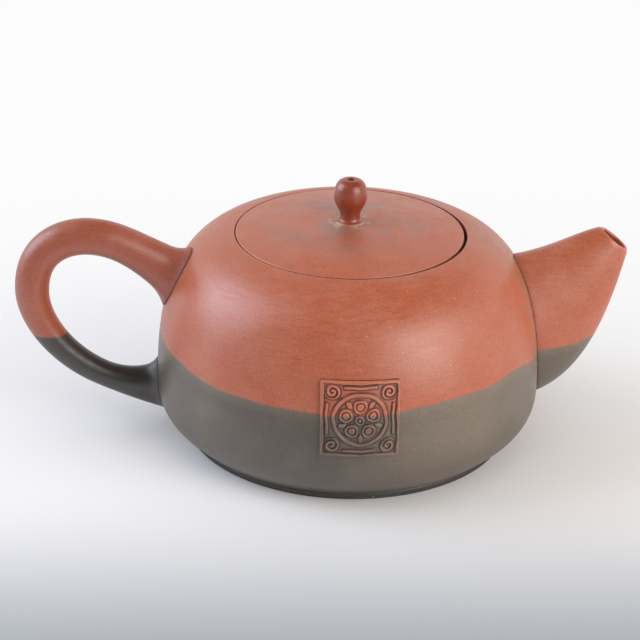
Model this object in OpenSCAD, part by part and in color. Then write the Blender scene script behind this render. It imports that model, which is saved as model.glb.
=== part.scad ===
// Yixing clay teapot: a squat round pot with a flush domed lid, a bead knob,
// a short beak spout, a ring handle and a square pressed plaque.
// Millimetres. The foot stands on z = 0 with its centre at the origin.
// The spout points to +X, the handle to -X and the plaque faces -Y.

/* [Body] */
// Greatest diameter of the belly
body_d = 115; // [100:1:135]
// Height of the widest line above the table
belly_z = 15.4; // [12:0.2:20]
// Thickness of the thrown and beaten wall
wall = 3; // [2.4:0.1:4]
// How upright the side stands before it turns in to the shoulder
belly_fullness = 0.65; // [0.5:0.01:0.75]
// How far the shoulder runs out before it turns down
shoulder_fullness = 0.7; // [0.55:0.01:0.8]
// Fall of the shoulder at the mouth, degrees
shoulder_slope = 9.6; // [6:0.2:14]
// Rise of the belly where it leaves the foot, degrees
toe_slope = 46; // [35:1:55]
// Share of the side's curve that belongs to the body wall, below the shoulder disc
seam_share = 0.7; // [0.6:0.02:0.8]

/* [Foot] */
// Diameter of the foot ring
foot_d = 97.8; // [90:0.2:103]
// Step from the body's lower edge in to the foot ring
foot_step = 0.3; // [0.1:0.1:1]
// Height of the foot ring
foot_h = 2.1; // [1.5:0.1:4]
// Width of the ring that the pot stands on
foot_w = 5; // [3:0.5:9]
// Bevel along the ring's lower edges
foot_bevel = 0.5; // [0.2:0.1:0.8]
// Thickness of the base disc
base_t = 3.4; // [3:0.1:5]

/* [Mouth] */
// Diameter of the mouth
mouth_d = 68.6; // [60:0.2:76]
// Height of the mouth's edge above the table
mouth_z = 62.6; // [56:0.2:72]
// Width of the ledge that the lid rests on
seat_w = 4; // [3:0.2:6]
// Thickness of the ledge ring
seat_t = 2.6; // [2:0.1:4]
// Lap of the ledge ring under the shoulder
seat_lap = 3; // [2:0.2:5]

/* [Lid] */
// Radial gap between the lid and the mouth
lid_gap = 0.6; // [0.4:0.05:1]
// Clearance between the lid and its ledge
lid_rest = 0.05; // [0.02:0.01:0.3]
// Rise of the lid's dome above its edge
lid_rise = 3.4; // [2:0.1:6]
// Thickness of the dome
lid_t = 3.2; // [2.6:0.1:4]
// Rounding of the lid's upper edge
lid_round = 0.4; // [0.2:0.1:0.8]
// Radial gap between the lid's flange and the ledge
flange_gap = 0.7; // [0.5:0.05:1.2]
// Thickness of the lid's flange
flange_t = 2.6; // [2:0.1:3.6]
// Depth of the lid's flange
flange_h = 5.5; // [4:0.5:9]
// How far the lid lies pushed toward one side of its seat
lid_slip = 0.35; // [0:0.05:0.35]
// Direction of that push, degrees from the spout
lid_slip_dir = 168; // [90:1:270]

/* [Knob] */
// Greatest diameter of the bead
knob_d = 9.7; // [8:0.1:13]
// Height of the knob above its collar
knob_h = 12.8; // [10:0.2:16]
// Diameter of the neck
neck_d = 5.8; // [5:0.1:7.4]
// Diameter of the collar
collar_d = 9.4; // [9:0.2:13]
// Thickness of the collar
collar_t = 0.3; // [0.2:0.05:1.2]
// Diameter of the air hole through knob and lid
vent_d = 2; // [1.5:0.1:2.6]

/* [Spout] */
// Reach of the mouth's centre beyond the belly
spout_reach = 21; // [16:0.5:30]
// Drop of the mouth's centre below the pot's mouth
spout_drop = 2.2; // [0:0.2:8]
// Length of the cut mouth
lip_l = 10.6; // [9:0.1:13]
// Width of the cut mouth
lip_w = 9; // [8:0.1:11]
// Slope of the cut mouth, degrees
lip_slope = 38; // [30:0.5:55]
// Start of the upper line, inside the belly's radius
spout_bury = 13.5; // [12:0.1:14.5]
// Start of the lower line, inside the belly's radius
chin_bury = 5.2; // [4.6:0.1:6]
// Width of the spout where it leaves the body
root_w = 27.6; // [23:0.2:30]
// Height of the spout's upper line where it leaves the body
root_high = 54; // [50:0.5:55]
// Height of the spout's lower line where it leaves the body
root_low = 8.9; // [8.4:0.1:11]
// Wall of the spout at the body
spout_wall = 2.4; // [2:0.1:3]
// Wall of the spout at the lip
lip_wall = 1.1; // [0.8:0.1:1.6]

/* [Strainer] */
// Height of the strainer's centre
strainer_z = 34; // [31:0.5:37]
// Diameter of the opening through the body wall
passage_d = 19; // [16:0.5:20]
// Diameter of the pierced dome
strainer_d = 24; // [23:0.5:26]
// Thickness of the dome
strainer_t = 1.8; // [1.4:0.1:2.2]
// Diameter of its holes
strainer_hole = 1.8; // [1.4:0.1:2]
// How far the dome's centre lies inside the wall
strainer_sink = 1; // [0.6:0.1:1.6]

/* [Handle] */
// Reach of the ring's centre line beyond the belly
handle_reach = 36.7; // [30:0.5:42]
// Highest point of the centre line
handle_top_z = 61.1; // [57:0.5:66]
// Height of the centre line's outermost point
handle_out_z = 43.5; // [40:0.5:47]
// Height of the inner end of the upper root
handle_high_z = 43; // [40:0.2:45]
// Height of the inner end of the lower root
handle_low_z = 17.2; // [16:0.2:19]
// Thickness of the upper half
handle_d = 10.8; // [9:0.1:13]
// Thickness of the lower half
tail_d = 7.7; // [7:0.1:9]
// Start of the upper root, inside the belly's radius
root_bury = 17; // [15:0.5:18]
// Start of the lower root, inside the belly's radius
tail_bury = 19.6; // [18:0.2:21]
// Spread of the upper root, as a radius at its inner end
root_flare = 5.6; // [4:0.2:7]
// Spread of the lower root, as a radius at its inner end
tail_flare = 16.6; // [12:0.2:18]
// Clay worked into the corner round the upper root
root_fillet = 1.9; // [0.4:0.1:2.4]
// Clay worked into the corner round the lower root
tail_fillet = 1.6; // [0.4:0.1:2]
// How far those corners run out along the upper root
root_blend = 8.3; // [5:0.1:10]
// How far they run out along the lower root
tail_blend = 4.5; // [3:0.1:7]

/* [Plaque] */
// Side of the square plaque
plaque_w = 22.2; // [18:0.2:26]
// Height of the plaque's centre
plaque_z = 30.4; // [29:0.2:33]
// Thickness of the sunk ground
ground_t = 0.6; // [0.4:0.1:1]
// Height of the frame and the relief above the ground
relief_t = 0.5; // [0.3:0.1:0.8]
// Width of the frame
frame_w = 0.9; // [0.6:0.1:2]
// Rounding of the plaque's corners
plaque_round = 0.8; // [0.3:0.1:2]
// Radius of the round medallion
medal_r = 7.8; // [6:0.1:8]
// Width of the medallion's rim
medal_w = 0.9; // [0.6:0.1:1.4]
// Radius of each petal
petal_r = 1.9; // [1.4:0.1:2]
// Distance of the petals from the centre
petal_place = 3.8; // [3.4:0.1:4.2]
// Radius of the flower's heart
heart_r = 1.3; // [0.8:0.1:1.5]
// Radius of the corner studs
stud_r = 1.4; // [0.8:0.1:1.6]
// Distance of the studs from the frame
stud_place = 2.2; // [1.8:0.1:2.6]

/* [Hidden] */
$fn = 96;
body_r = body_d / 2;
foot_r = foot_d / 2;
mouth_r = mouth_d / 2;
vent_r = vent_d / 2;

// How far a cutting shape runs past what it cuts.
lap = 1;

// Steps along the lower curve, the side and the shoulder of the body's outline,
// and the pulls of the lower curve at the toe and at the belly.
curve_low = 12;
curve_side = 18;
curve_top = 12;
toe_pull = 0.38;
belly_pull = 0.58;

// Shape of the spout: pulls of its two outlines at the body and at the lip,
// and how evenly its width tapers.
bridge_pull = [1.1, 1.5];
nose_pull = [6.5, 0.7];
chin_pull = [14.3, 3.8];
throat_pull = [4.5, 21.7];
spout_taper = 0.95;
spout_rings = 24;
spout_sides = 32;

// Shape of the handle: place of its crown along the reach, and pulls of the
// centre line at the roots, the crown and the back.
crown_share = 0.56;
root_run = 21.6;
crown_before = 11.4;
crown_after = 5.9;
back_above = 14.3;
back_below = 15.8;
tail_run = 35.9;
// Slope of the handle's upper root, degrees
root_slope = 28.5;
// Slope of the handle's lower root, degrees
tail_slope = 24.5;

// The coil tapers over a share of its length, and its roots spread upright
// over these lengths; sideways they take only a share of that, and the upper
// root leans toward the loop.
taper_from = 0.3;
taper_share = 0.5;
root_spread = 33.4;
tail_spread = 36.7;
sideways = 0.3;
root_lean = 0.25;
share = [0, 0.29, 0.46, 1];
handle_stop = [1, 1, 0.86];
handle_steps = [18, 14, 26];
handle_sides = 24;

// Cubic curve through four control points, its direction, and its parallel
// at depth d on the inner side.
function bez(p, t) =
    pow(1 - t, 3) * p[0] + 3 * pow(1 - t, 2) * t * p[1]
    + 3 * (1 - t) * t * t * p[2] + pow(t, 3) * p[3];
function slope(p, t) =
    pow(1 - t, 2) * (p[1] - p[0]) + 2 * (1 - t) * t * (p[2] - p[1])
    + t * t * (p[3] - p[2]);
function inset(p, t, d) =
    let (v = slope(p, t)) bez(p, t) - d * [v[1], -v[0]] / norm(v);
function turn(a) = [cos(a), sin(a)];
function flip(p) = [for (i = [len(p) - 1 : -1 : 0]) p[i]];
function ease(x) = let (u = min(1, max(0, x))) u * u * (3 - 2 * u);

// The body's outline, [radius, height]: one curve from the foot to the belly
// and one from the belly to the mouth.
toe = [foot_r + foot_step, foot_h];
belly = [body_r, belly_z];
rim = [mouth_r, mouth_z];
low_curve = [toe, toe + toe_pull * (belly_z - foot_h) * turn(toe_slope),
             belly - [0, belly_pull * (belly_z - foot_h)], belly];
high_curve = [belly, belly + [0, belly_fullness * (mouth_z - belly_z)],
              rim + shoulder_fullness * (body_r - mouth_r) * turn(-shoulder_slope),
              rim];
function low_line(d) = [for (i = [0 : curve_low - 1]) inset(low_curve, i / curve_low, d)];
function side_line(d) =
    [for (i = [0 : curve_side]) inset(high_curve, seam_share * i / curve_side, d)];
function top_line(d) =
    [for (i = [0 : curve_top])
        inset(high_curve, seam_share + (1 - seam_share) * i / curve_top, d)];

inner_low = low_line(wall);
inner_side = side_line(wall);
inner_top = top_line(wall);
height_to_radius = [for (p = concat(inner_low, inner_side)) [p[1], p[0]]];

// Heights of the lid's seat and of the lid's own faces.
seat_z = lookup(mouth_r, inner_top);
lid_r = mouth_r - lid_gap;
under_z = seat_z + lid_rest;
flange_r = mouth_r - seat_w - flange_gap;
flange_in = flange_r - flange_t;
dome_r = (lid_r * lid_r + lid_rise * lid_rise) / (2 * lid_rise);
function dome(r) = mouth_z + lid_rise - dome_r + sqrt(dome_r * dome_r - r * r);
land_z = dome(collar_d / 2);
knob_z = land_z + collar_t;

// A ring of points for each section, skinned with triangles.
function skin_faces(n, m) = concat(
    [[for (j = [0 : m - 1]) j]],
    [for (i = [0 : n - 2], j = [0 : m - 1])
        [i * m + j, (i + 1) * m + j, (i + 1) * m + (j + 1) % m]],
    [for (i = [0 : n - 2], j = [0 : m - 1])
        [i * m + j, (i + 1) * m + (j + 1) % m, i * m + (j + 1) % m]],
    [[for (j = [m - 1 : -1 : 0]) (n - 1) * m + j]]);

module skin(rings) {
    m = len(rings[0]);
    polyhedron(points = [for (r = rings, p = r) p],
               faces = skin_faces(len(rings), m), convexity = 6);
}

// The pot's outer form without its lid, solid.
module body_mass() {
    rotate_extrude()
        polygon(concat([[0, foot_h]], low_line(0), side_line(0), top_line(0),
                       [[0, mouth_z]]));
}

// The cavity inside the wall and the base.
module cavity_mass() {
    rotate_extrude()
        polygon(concat([[0, foot_h + base_t]],
                       [for (p = inner_low) if (p[1] > foot_h + base_t) p],
                       inner_side, [[0, inner_side[curve_side][1]]]));
}

module body_wall() {
    color("#b5694f")
    difference() {
        rotate_extrude()
            polygon(concat(low_line(0), side_line(0),
                           flip(inner_side), flip(inner_low)));
        translate([body_r / 2, 0, strainer_z])
            rotate([0, 90, 0])
                cylinder(d = passage_d, h = body_r);
    }
}

module shoulder_disc() {
    color("#bd745b")
    rotate_extrude()
        polygon(concat(top_line(0), [[mouth_r, seat_z]],
                       flip([for (p = inner_top) if (p[0] > mouth_r + 0.01) p])));
}

module seat_ring() {
    lap_r = mouth_r + seat_lap;
    color("#a55e46")
    rotate_extrude()
        polygon(concat([[mouth_r - seat_w, seat_z], [mouth_r, seat_z]],
                       flip([for (p = inner_top)
                                if (p[0] > mouth_r + 0.01 && p[0] < lap_r - 0.01) p]),
                       [[lap_r, lookup(lap_r, inner_top)],
                        [lap_r, seat_z - seat_t],
                        [mouth_r - seat_w, seat_z - seat_t]]));
}

module base_disc() {
    top = foot_h + base_t;
    color("#6a6259")
    rotate_extrude()
        polygon(concat([[0, foot_h], toe],
                       [for (p = inner_low) if (p[1] < top - 0.01) p],
                       [[lookup(top, height_to_radius), top], [0, top]]));
}

module foot_ring() {
    color("#564f48")
    rotate_extrude()
        polygon([[foot_r, foot_h], [foot_r, foot_bevel],
                 [foot_r - foot_bevel, 0],
                 [foot_r - foot_w + foot_bevel, 0],
                 [foot_r - foot_w, foot_bevel],
                 [foot_r - foot_w, foot_h]]);
}

// The beak spout: egg-shaped sections spanned between its upper and its lower
// outline, which both start inside the pot.
lip = [body_r + spout_reach, mouth_z - spout_drop];
lip_high = lip + lip_l / 2 * turn(180 - lip_slope);
lip_low = lip + lip_l / 2 * turn(-lip_slope);
spout_high = [[body_r - spout_bury, root_high], [body_r, root_high] + bridge_pull,
              lip_high - nose_pull, lip_high];
spout_low = [[body_r - chin_bury, root_low], [body_r, root_low] + chin_pull,
             lip_low - throat_pull, lip_low];

function spout_ring(s, d, out = 0) =
    let (u = bez(spout_high, s), l = bez(spout_low, s),
         c = (u + l) / 2, h = (u - l) / 2 * (1 - 2 * d / norm(u - l)),
         w = root_w / 2 + (lip_w - root_w) / 2 * pow(s, spout_taper) - d,
         o = out * turn(90 - lip_slope))
    [for (j = [0 : spout_sides - 1])
        let (a = 360 * j / spout_sides)
        [c[0] + h[0] * cos(a) + o[0], -w * sin(a), c[1] + h[1] * cos(a) + o[1]]];
function spout_depth(s) = spout_wall + (lip_wall - spout_wall) * s;

module spout() {
    color("#b96c52")
    difference() {
        skin([for (i = [0 : spout_rings]) spout_ring(i / spout_rings, 0)]);
        skin(concat([for (i = [0 : spout_rings])
                        spout_ring(i / spout_rings, spout_depth(i / spout_rings))],
                    [spout_ring(1, lip_wall, lap)]));
        body_mass();
    }
}

// The pierced dome that keeps the leaves out of the spout: each ring of holes
// has its tilt from the dome's axis, its number of holes and its first hole's
// turn, in degrees.
strainer_x = lookup(strainer_z, height_to_radius) + strainer_sink;
strainer_rings = [[0, 1, 0], [23, 6, 0], [46, 12, 15]];

module strainer_bore(tilt, spin) {
    translate([strainer_x, 0, strainer_z])
        rotate([spin, 0, 0])
            rotate([0, -90 + tilt, 0])
                translate([0, 0, strainer_d / 2 - strainer_t - lap])
                    cylinder(d = strainer_hole, h = strainer_t + 2 * lap);
}

module strainer() {
    color("#a55e46")
    difference() {
        intersection() {
            translate([strainer_x, 0, strainer_z])
                difference() {
                    sphere(d = strainer_d);
                    sphere(d = strainer_d - 2 * strainer_t);
                }
            cavity_mass();
        }
        for (ring = strainer_rings, k = [0 : ring[1] - 1])
            strainer_bore(ring[0], ring[2] + 360 * k / ring[1]);
    }
}

// The ring handle: round sections along three curves in the plane of the
// spout. Both ends lie inside the pot, and the roots spread toward them. The
// pot and the space beneath it cut off what reaches in.
crown = [body_r + crown_share * handle_reach, handle_top_z];
back = [body_r + handle_reach, handle_out_z];
handle_high = [body_r - root_bury, handle_high_z];
handle_tail = [body_r - tail_bury, handle_low_z];
handle_curves = [
    [handle_high, handle_high + root_run * turn(root_slope),
     crown - [crown_before, 0], crown],
    [crown, crown + [crown_after, 0], back + [0, back_above], back],
    [back, back - [0, back_below], handle_tail + tail_run * turn(-tail_slope),
     handle_tail]];
handle_fillet = [root_fillet, root_fillet, tail_fillet];
handle_blend = [root_blend, root_blend, tail_blend];

function spread(c, root, size, length) =
    size * pow(max(0, 1 - norm(c - root) / length), 2);
function handle_radius(u) =
    handle_d / 2 + (tail_d - handle_d) / 2 * ease((u - taper_from) / taper_share);

// Clay worked into the corner at a point of the plain coil: all of it inside
// the pot, and less with the cube of the point's distance from the wall.
function corner_clay(k, x, y, z) =
    let (gap = norm([x, y]) - lookup(z, height_to_radius) - wall)
    handle_fillet[k] * pow(1 - min(1, max(0, gap) / handle_blend[k]), 3);
function handle_point(k, c, n, tall, wide, a) =
    let (f = corner_clay(k, c[0] + tall * n[0] * cos(a), wide * sin(a),
                         c[1] + tall * n[1] * cos(a)))
    [-(c[0] + (tall + f) * n[0] * cos(a)), -(wide + f) * sin(a),
     c[1] + (tall + f) * n[1] * cos(a)];
function handle_ring(k, t) =
    let (p = bez(handle_curves[k], t), v = slope(handle_curves[k], t),
         n = [-v[1], v[0]] / norm(v),
         high = spread(p, handle_high, root_flare, root_spread),
         low = spread(p, handle_tail, tail_flare, tail_spread),
         c = p - root_lean * high * n,
         r = handle_radius(share[k] + (share[k + 1] - share[k]) * t),
         tall = r + high + low, wide = r + sideways * (high + low))
    [for (j = [0 : handle_sides - 1])
        handle_point(k, c, n, tall, wide, 360 * j / handle_sides)];

module handle() {
    color("#b5694f")
    difference() {
        skin([for (k = [0 : 2], i = [(k == 0 ? 0 : 1) : handle_steps[k]])
                 handle_ring(k, handle_stop[k] * i / handle_steps[k])]);
        body_mass();
        translate([0, 0, -handle_low_z])
            cylinder(r = toe[0], h = handle_low_z + foot_h + lap);
    }
}

// The plaque: bands parallel to the body's outer face, cut to a square, with
// a frame, a round medallion, a five-petalled flower and four corner studs.
module band(low, high) {
    rotate_extrude()
        polygon(concat(low_line(-low), side_line(-low),
                       flip(side_line(-high)), flip(low_line(-high))));
}

module facing() {
    translate([0, -body_r / 2, plaque_z])
        rotate([90, 0, 0])
            linear_extrude(body_r)
                children();
}

module rounded_square(side, round) {
    straight = side - 2 * round;
    square([side, straight], center = true);
    square([straight, side], center = true);
    for (x = [-1, 1], y = [-1, 1])
        translate([x, y] * straight / 2)
            circle(r = round);
}

module relief() {
    difference() {
        circle(r = medal_r);
        circle(r = medal_r - medal_w);
    }
    circle(r = heart_r);
    for (k = [0 : 4])
        rotate(90 + 72 * k)
            translate([petal_place, 0])
                circle(r = petal_r);
    for (x = [-1, 1], y = [-1, 1])
        translate([x, y] * (plaque_w / 2 - frame_w - stud_place))
            circle(r = stud_r);
}

module plaque() {
    color("#a8634b")
    difference() {
        intersection() {
            band(0, ground_t + relief_t);
            facing() rounded_square(plaque_w, plaque_round);
        }
        intersection() {
            band(ground_t, ground_t + relief_t + lap);
            facing()
                difference() {
                    square(plaque_w - 2 * frame_w, center = true);
                    relief();
                }
        }
    }
}

// The lid's pieces are drawn on the axis and lie pushed to one side.
module pushed() {
    translate([lid_slip * cos(lid_slip_dir), lid_slip * sin(lid_slip_dir), 0])
        children();
}

dome_steps = 14;
crown_r = collar_d / 2;
edge_r = lid_r - lid_round;

module lid_disc() {
    color("#ba7059")
    pushed()
    rotate_extrude()
        polygon(concat([[vent_r, land_z]],
                       [for (i = [0 : dome_steps])
                           let (r = crown_r + (edge_r - crown_r) * i / dome_steps)
                           [r, dome(r)]],
                       [[lid_r, mouth_z - lid_round], [lid_r, under_z],
                        [flange_in, under_z]],
                       [for (i = [0 : dome_steps])
                           let (r = flange_in + (vent_r - flange_in) * i / dome_steps)
                           [r, dome(r) - lid_t]]));
}

module lid_flange() {
    color("#a55e46")
    pushed()
    translate([0, 0, under_z - flange_h])
        difference() {
            cylinder(r = flange_r, h = flange_h);
            translate([0, 0, -lap])
                cylinder(r = flange_in, h = flange_h + 2 * lap);
        }
}

module knob_collar() {
    color("#b96c52")
    pushed()
    rotate_extrude()
        polygon([[vent_r, land_z], [collar_d / 2, land_z],
                 [collar_d / 2, land_z + collar_t / 2],
                 [collar_d / 2 - collar_t / 2, knob_z], [vent_r, knob_z]]);
}

// The bead swells from its neck to its widest line and rounds over to the air
// hole, whose edge is bevelled. All but the bevel are shares of its height.
bead_share = 0.61;
neck_share = 0.11;
neck_pull = 0.19;
swell_pull = 0.24;
round_pull = 0.24;
crown_pull = 0.8;
vent_land = 0.5;
vent_bevel = 0.4;
neck_fillet = 0.5;
knob_steps = 10;

module knob() {
    r = knob_d / 2;
    n = neck_d / 2;
    wide_z = knob_z + bead_share * knob_h;
    neck_z = knob_z + neck_share * knob_h;
    top_z = knob_z + knob_h;
    rise = [[n, neck_z], [n, neck_z + neck_pull * knob_h],
            [r, wide_z - swell_pull * knob_h], [r, wide_z]];
    cap = [[r, wide_z], [r, wide_z + round_pull * knob_h],
           [crown_pull * r, top_z], [vent_r + vent_land, top_z]];
    color("#a8583c")
    pushed()
    rotate_extrude()
        polygon(concat([[vent_r, knob_z], [n + neck_fillet, knob_z],
                        [n, knob_z + neck_fillet]],
                       [for (i = [0 : knob_steps - 1]) bez(rise, i / knob_steps)],
                       [for (i = [0 : knob_steps]) bez(cap, i / knob_steps)],
                       [[vent_r + vent_bevel, top_z],
                        [vent_r, top_z - vent_bevel]]));
}

body_wall();
shoulder_disc();
seat_ring();
base_disc();
foot_ring();
spout();
strainer();
handle();
plaque();
lid_disc();
lid_flange();
knob_collar();
knob();
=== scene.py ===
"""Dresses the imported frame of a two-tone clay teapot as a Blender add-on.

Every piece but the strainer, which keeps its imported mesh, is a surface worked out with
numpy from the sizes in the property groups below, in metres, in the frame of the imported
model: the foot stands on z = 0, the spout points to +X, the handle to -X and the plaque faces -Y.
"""

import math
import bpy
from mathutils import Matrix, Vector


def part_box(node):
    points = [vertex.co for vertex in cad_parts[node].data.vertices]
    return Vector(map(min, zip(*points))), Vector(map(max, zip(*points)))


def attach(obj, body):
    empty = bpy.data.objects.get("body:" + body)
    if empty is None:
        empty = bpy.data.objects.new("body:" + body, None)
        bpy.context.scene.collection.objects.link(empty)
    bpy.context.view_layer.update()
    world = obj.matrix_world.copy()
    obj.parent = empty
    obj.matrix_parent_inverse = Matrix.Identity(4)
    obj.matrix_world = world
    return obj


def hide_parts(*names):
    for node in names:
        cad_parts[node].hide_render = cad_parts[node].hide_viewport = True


bl_info = {
    "name": "Two-tone clay teapot",
    "version": (1, 0, 0),
    "blender": (4, 5, 0),
    "location": "3D View > Sidebar > Teapot",
    "description": "Burnished clay teapot with a flush lid, a beak spout, a ring handle and a plaque",
    "category": "Add Mesh",
}

import bmesh
import bpy
import numpy as np
from bpy.props import FloatProperty, FloatVectorProperty, IntProperty, PointerProperty
from mathutils import Matrix, Vector

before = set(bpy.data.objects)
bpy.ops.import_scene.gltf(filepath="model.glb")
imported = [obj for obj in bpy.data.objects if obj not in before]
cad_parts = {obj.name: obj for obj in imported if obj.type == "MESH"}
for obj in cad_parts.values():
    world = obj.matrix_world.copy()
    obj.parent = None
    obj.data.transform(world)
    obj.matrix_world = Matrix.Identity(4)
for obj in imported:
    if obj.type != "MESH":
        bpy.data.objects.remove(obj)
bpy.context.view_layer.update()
MM = 0.001

_, wall_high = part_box("body_wall")
_, shoulder_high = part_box("shoulder_disc")
ledge_low, ledge_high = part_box("seat_ring")
_, foot_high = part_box("foot_ring")
lid_low, lid_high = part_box("lid_disc")
flange_low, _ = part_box("lid_flange")
collar_low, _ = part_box("knob_collar")
knob_low, knob_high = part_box("knob")
LID_CENTRE = ((lid_low.x + lid_high.x) / 2, (lid_low.y + lid_high.y) / 2)


# ---------------------------------------------------------------- settings


def half_width(node):
    """Half of a CAD node's width along the axis from handle to spout."""
    low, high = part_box(node)
    return (high.x - low.x) / 2


def length(name, description, default):
    return FloatProperty(
        name=name, description=description, default=default, unit="LENGTH", precision=5
    )


def angle(name, description, degrees):
    return FloatProperty(
        name=name, description=description, default=math.radians(degrees), subtype="ANGLE"
    )


def share(name, description, default):
    return FloatProperty(
        name=name, description=description, default=default, min=0, max=1, subtype="FACTOR"
    )


def power(name, description, default):
    return FloatProperty(name=name, description=description, default=default, unit="POWER")


def count(name, description, default):
    return IntProperty(name=name, description=description, default=default, min=3)


def linear(hex_colour):
    """sRGB hex to linear light, channel by channel."""
    channels = [int(hex_colour[i : i + 2], 16) / 255 for i in (1, 3, 5)]
    return tuple(c / 12.92 if c <= 0.04045 else ((c + 0.055) / 1.055) ** 2.4 for c in channels)


def colour(name, description, hex_colour):
    return FloatVectorProperty(
        name=name, description=description, default=linear(hex_colour), min=0, max=1, size=3,
        subtype="COLOR",
    )


class PotSizes(bpy.types.PropertyGroup):
    belly_radius: length("Belly radius", "Greatest radius of the pot", wall_high.x)
    belly_height: length("Belly height", "Height of the widest line", 15.4 * MM)
    belly_fullness: share("Belly fullness", "How upright the side stands", 0.65)
    shoulder_fullness: share("Shoulder fullness", "How far the shoulder runs out", 0.7)
    shoulder_slope: angle("Shoulder slope", "Fall of the shoulder at the mouth", 9.6)
    toe_slope: angle("Toe slope", "Rise of the belly at the foot", 46)
    mouth_radius: length("Mouth radius", "Radius of the mouth", 34.3 * MM)
    mouth_height: length("Mouth height", "Height of the mouth's edge", shoulder_high.z)
    foot_radius: length("Foot radius", "Radius of the foot ring", foot_high.x)
    foot_step: length("Foot step", "Step from the body's lower edge in to the foot ring", 0.3 * MM)
    foot_height: length("Foot height", "Height of the foot ring", foot_high.z)
    foot_width: length("Foot width", "Width of the ring that the pot stands on", 5 * MM)
    wall: length("Wall", "Thickness of the wall", 3 * MM)
    base: length("Base", "Thickness of the base disc", 3.4 * MM)
    ledge_width: length("Ledge width", "Width of the ledge that carries the lid", 4 * MM)
    ledge_height: length("Ledge height", "Height of the ledge's upper face", ledge_high.z)
    ledge_low: length("Ledge underside", "Height of the ledge's lower face", ledge_low.z)
    ledge_reach: length("Ledge reach", "Outer radius of the ledge ring", ledge_high.x)
    passage: length("Passage radius", "Radius of the opening into the spout", 9.5 * MM)
    passage_height: length("Passage height", "Height of the passage's centre", 34 * MM)
    edge: length("Edge rounding", "Rounding of the mouth and the toe", 0.4 * MM)
    sides: count("Sides", "Points round each turned piece", 256)


class SpoutSizes(bpy.types.PropertyGroup):
    lip_x: length("Lip reach", "Place of the mouth's centre along the spout's axis", 78.5 * MM)
    lip_z: length("Lip height", "Height of the mouth's centre", 60.4 * MM)
    lip_length: length("Lip length", "Length of the cut mouth", 10.6 * MM)
    lip_width: length("Lip width", "Width of the cut mouth", 9 * MM)
    lip_slope: angle("Lip slope", "Slope of the cut mouth", 38)
    root_width: length("Root width", "Width at the body", 27.6 * MM)
    bury_high: length("Upper start", "Start of the upper line inside the belly's radius", 13.5 * MM)
    bury_low: length("Lower start", "Start of the lower line inside the belly's radius", 5.2 * MM)
    root_high: length("Upper root", "Height of the upper line at the body", 54 * MM)
    root_low: length("Lower root", "Height of the lower line at the body", 8.9 * MM)
    wall_root: length("Wall at the root", "Thickness of the spout at the body", 2.4 * MM)
    wall_lip: length("Wall at the lip", "Thickness of the spout at the lip", 1.1 * MM)
    sides: count("Sides", "Points round each section", 128)


class HandleSizes(bpy.types.PropertyGroup):
    reach: length("Reach", "Reach of the centre line beyond the belly", 36.7 * MM)
    top: length("Top", "Highest point of the centre line", 61.1 * MM)
    out: length("Outermost height", "Height of the outermost point", 43.5 * MM)
    bury_high: length("Upper start", "Start of the upper root inside the belly's radius", 17 * MM)
    bury_low: length("Lower start", "Start of the lower root inside the belly's radius", 19.6 * MM)
    root_high: length("Upper root", "Height of the inner end above", 43 * MM)
    root_low: length("Lower root", "Height of the inner end below", 17.2 * MM)
    thick: length("Thick radius", "Radius of the coil's upper half", 5.4 * MM)
    thin: length("Thin radius", "Radius of the coil's lower half", 3.85 * MM)
    flare_high: length("Upper spread", "Spread of the upper root at its inner end", 5.6 * MM)
    flare_low: length("Lower spread", "Spread of the lower root at its inner end", 16.6 * MM)
    run_high: length("Upper run", "Length over which the upper root spreads", 33.4 * MM)
    run_low: length("Lower run", "Length over which the lower root spreads", 36.7 * MM)
    fillet_high: length("Upper fillet", "Clay worked into the corner round the upper root", 1.9 * MM)
    fillet_low: length("Lower fillet", "Clay worked into the corner round the lower root", 1.6 * MM)
    blend_high: length("Upper blend", "How far that clay runs out along the upper root", 8.3 * MM)
    blend_low: length("Lower blend", "How far it runs out along the lower root", 4.5 * MM)
    sides: count("Sides", "Points round each section", 96)


class JointSizes(bpy.types.PropertyGroup):
    depth: length("Crease depth", "Depth of the tooled line round a joint", 0.14 * MM)
    width: length("Crease width", "Half width of the tooled line", 0.3 * MM)
    # The stain along a tooled line is partly residue and partly painted shade.
    stain_and_shade: length("Stain width", "Half width of the stain along the tooled line", 0.42 * MM)


class LidSizes(bpy.types.PropertyGroup):
    radius: length("Lid radius", "Radius of the lid", half_width("lid_disc"))
    rise: length("Rise", "Rise of the dome above the lid's edge", 3.4 * MM)
    thickness: length("Thickness", "Thickness of the dome", 3.2 * MM)
    edge: length("Edge rounding", "Rounding of the lid's edge", 0.4 * MM)
    flange_radius: length("Flange radius", "Outer radius of the flange", half_width("lid_flange"))
    flange_wall: length("Flange wall", "Thickness of the flange", 2.6 * MM)
    vent: length("Vent radius", "Radius of the air hole", 1 * MM)
    collar_radius: length("Collar radius", "Radius of the collar", half_width("knob_collar"))
    knob_radius: length("Knob radius", "Greatest radius of the bead", half_width("knob"))
    neck_radius: length("Neck radius", "Radius of the knob's neck", 2.9 * MM)


class PlaqueSizes(bpy.types.PropertyGroup):
    half: length("Half width", "Half of the square's side", half_width("plaque"))
    height: length("Centre height", "Height of the plaque's centre", 30.4 * MM)
    ground: length("Ground", "Thickness of the sunk ground", 0.6 * MM)
    relief: length("Relief", "Height of the relief above the ground", 0.5 * MM)
    border: length("Frame", "Width of the frame", 0.9 * MM)
    rounding: length("Corner rounding", "Rounding of the plaque's corners", 0.8 * MM)
    medallion: length("Medallion", "Radius of the round medallion", 7.8 * MM)
    medallion_rim: length("Medallion rim", "Width of the medallion's rim", 0.9 * MM)
    petal: length("Petal", "Radius of each petal", 1.9 * MM)
    petal_place: length("Petal place", "Distance of the petals from the centre", 3.9 * MM)
    heart: length("Heart", "Radius of the flower's heart", 1.3 * MM)
    points: count("Points", "Grid points along each side", 236)


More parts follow.
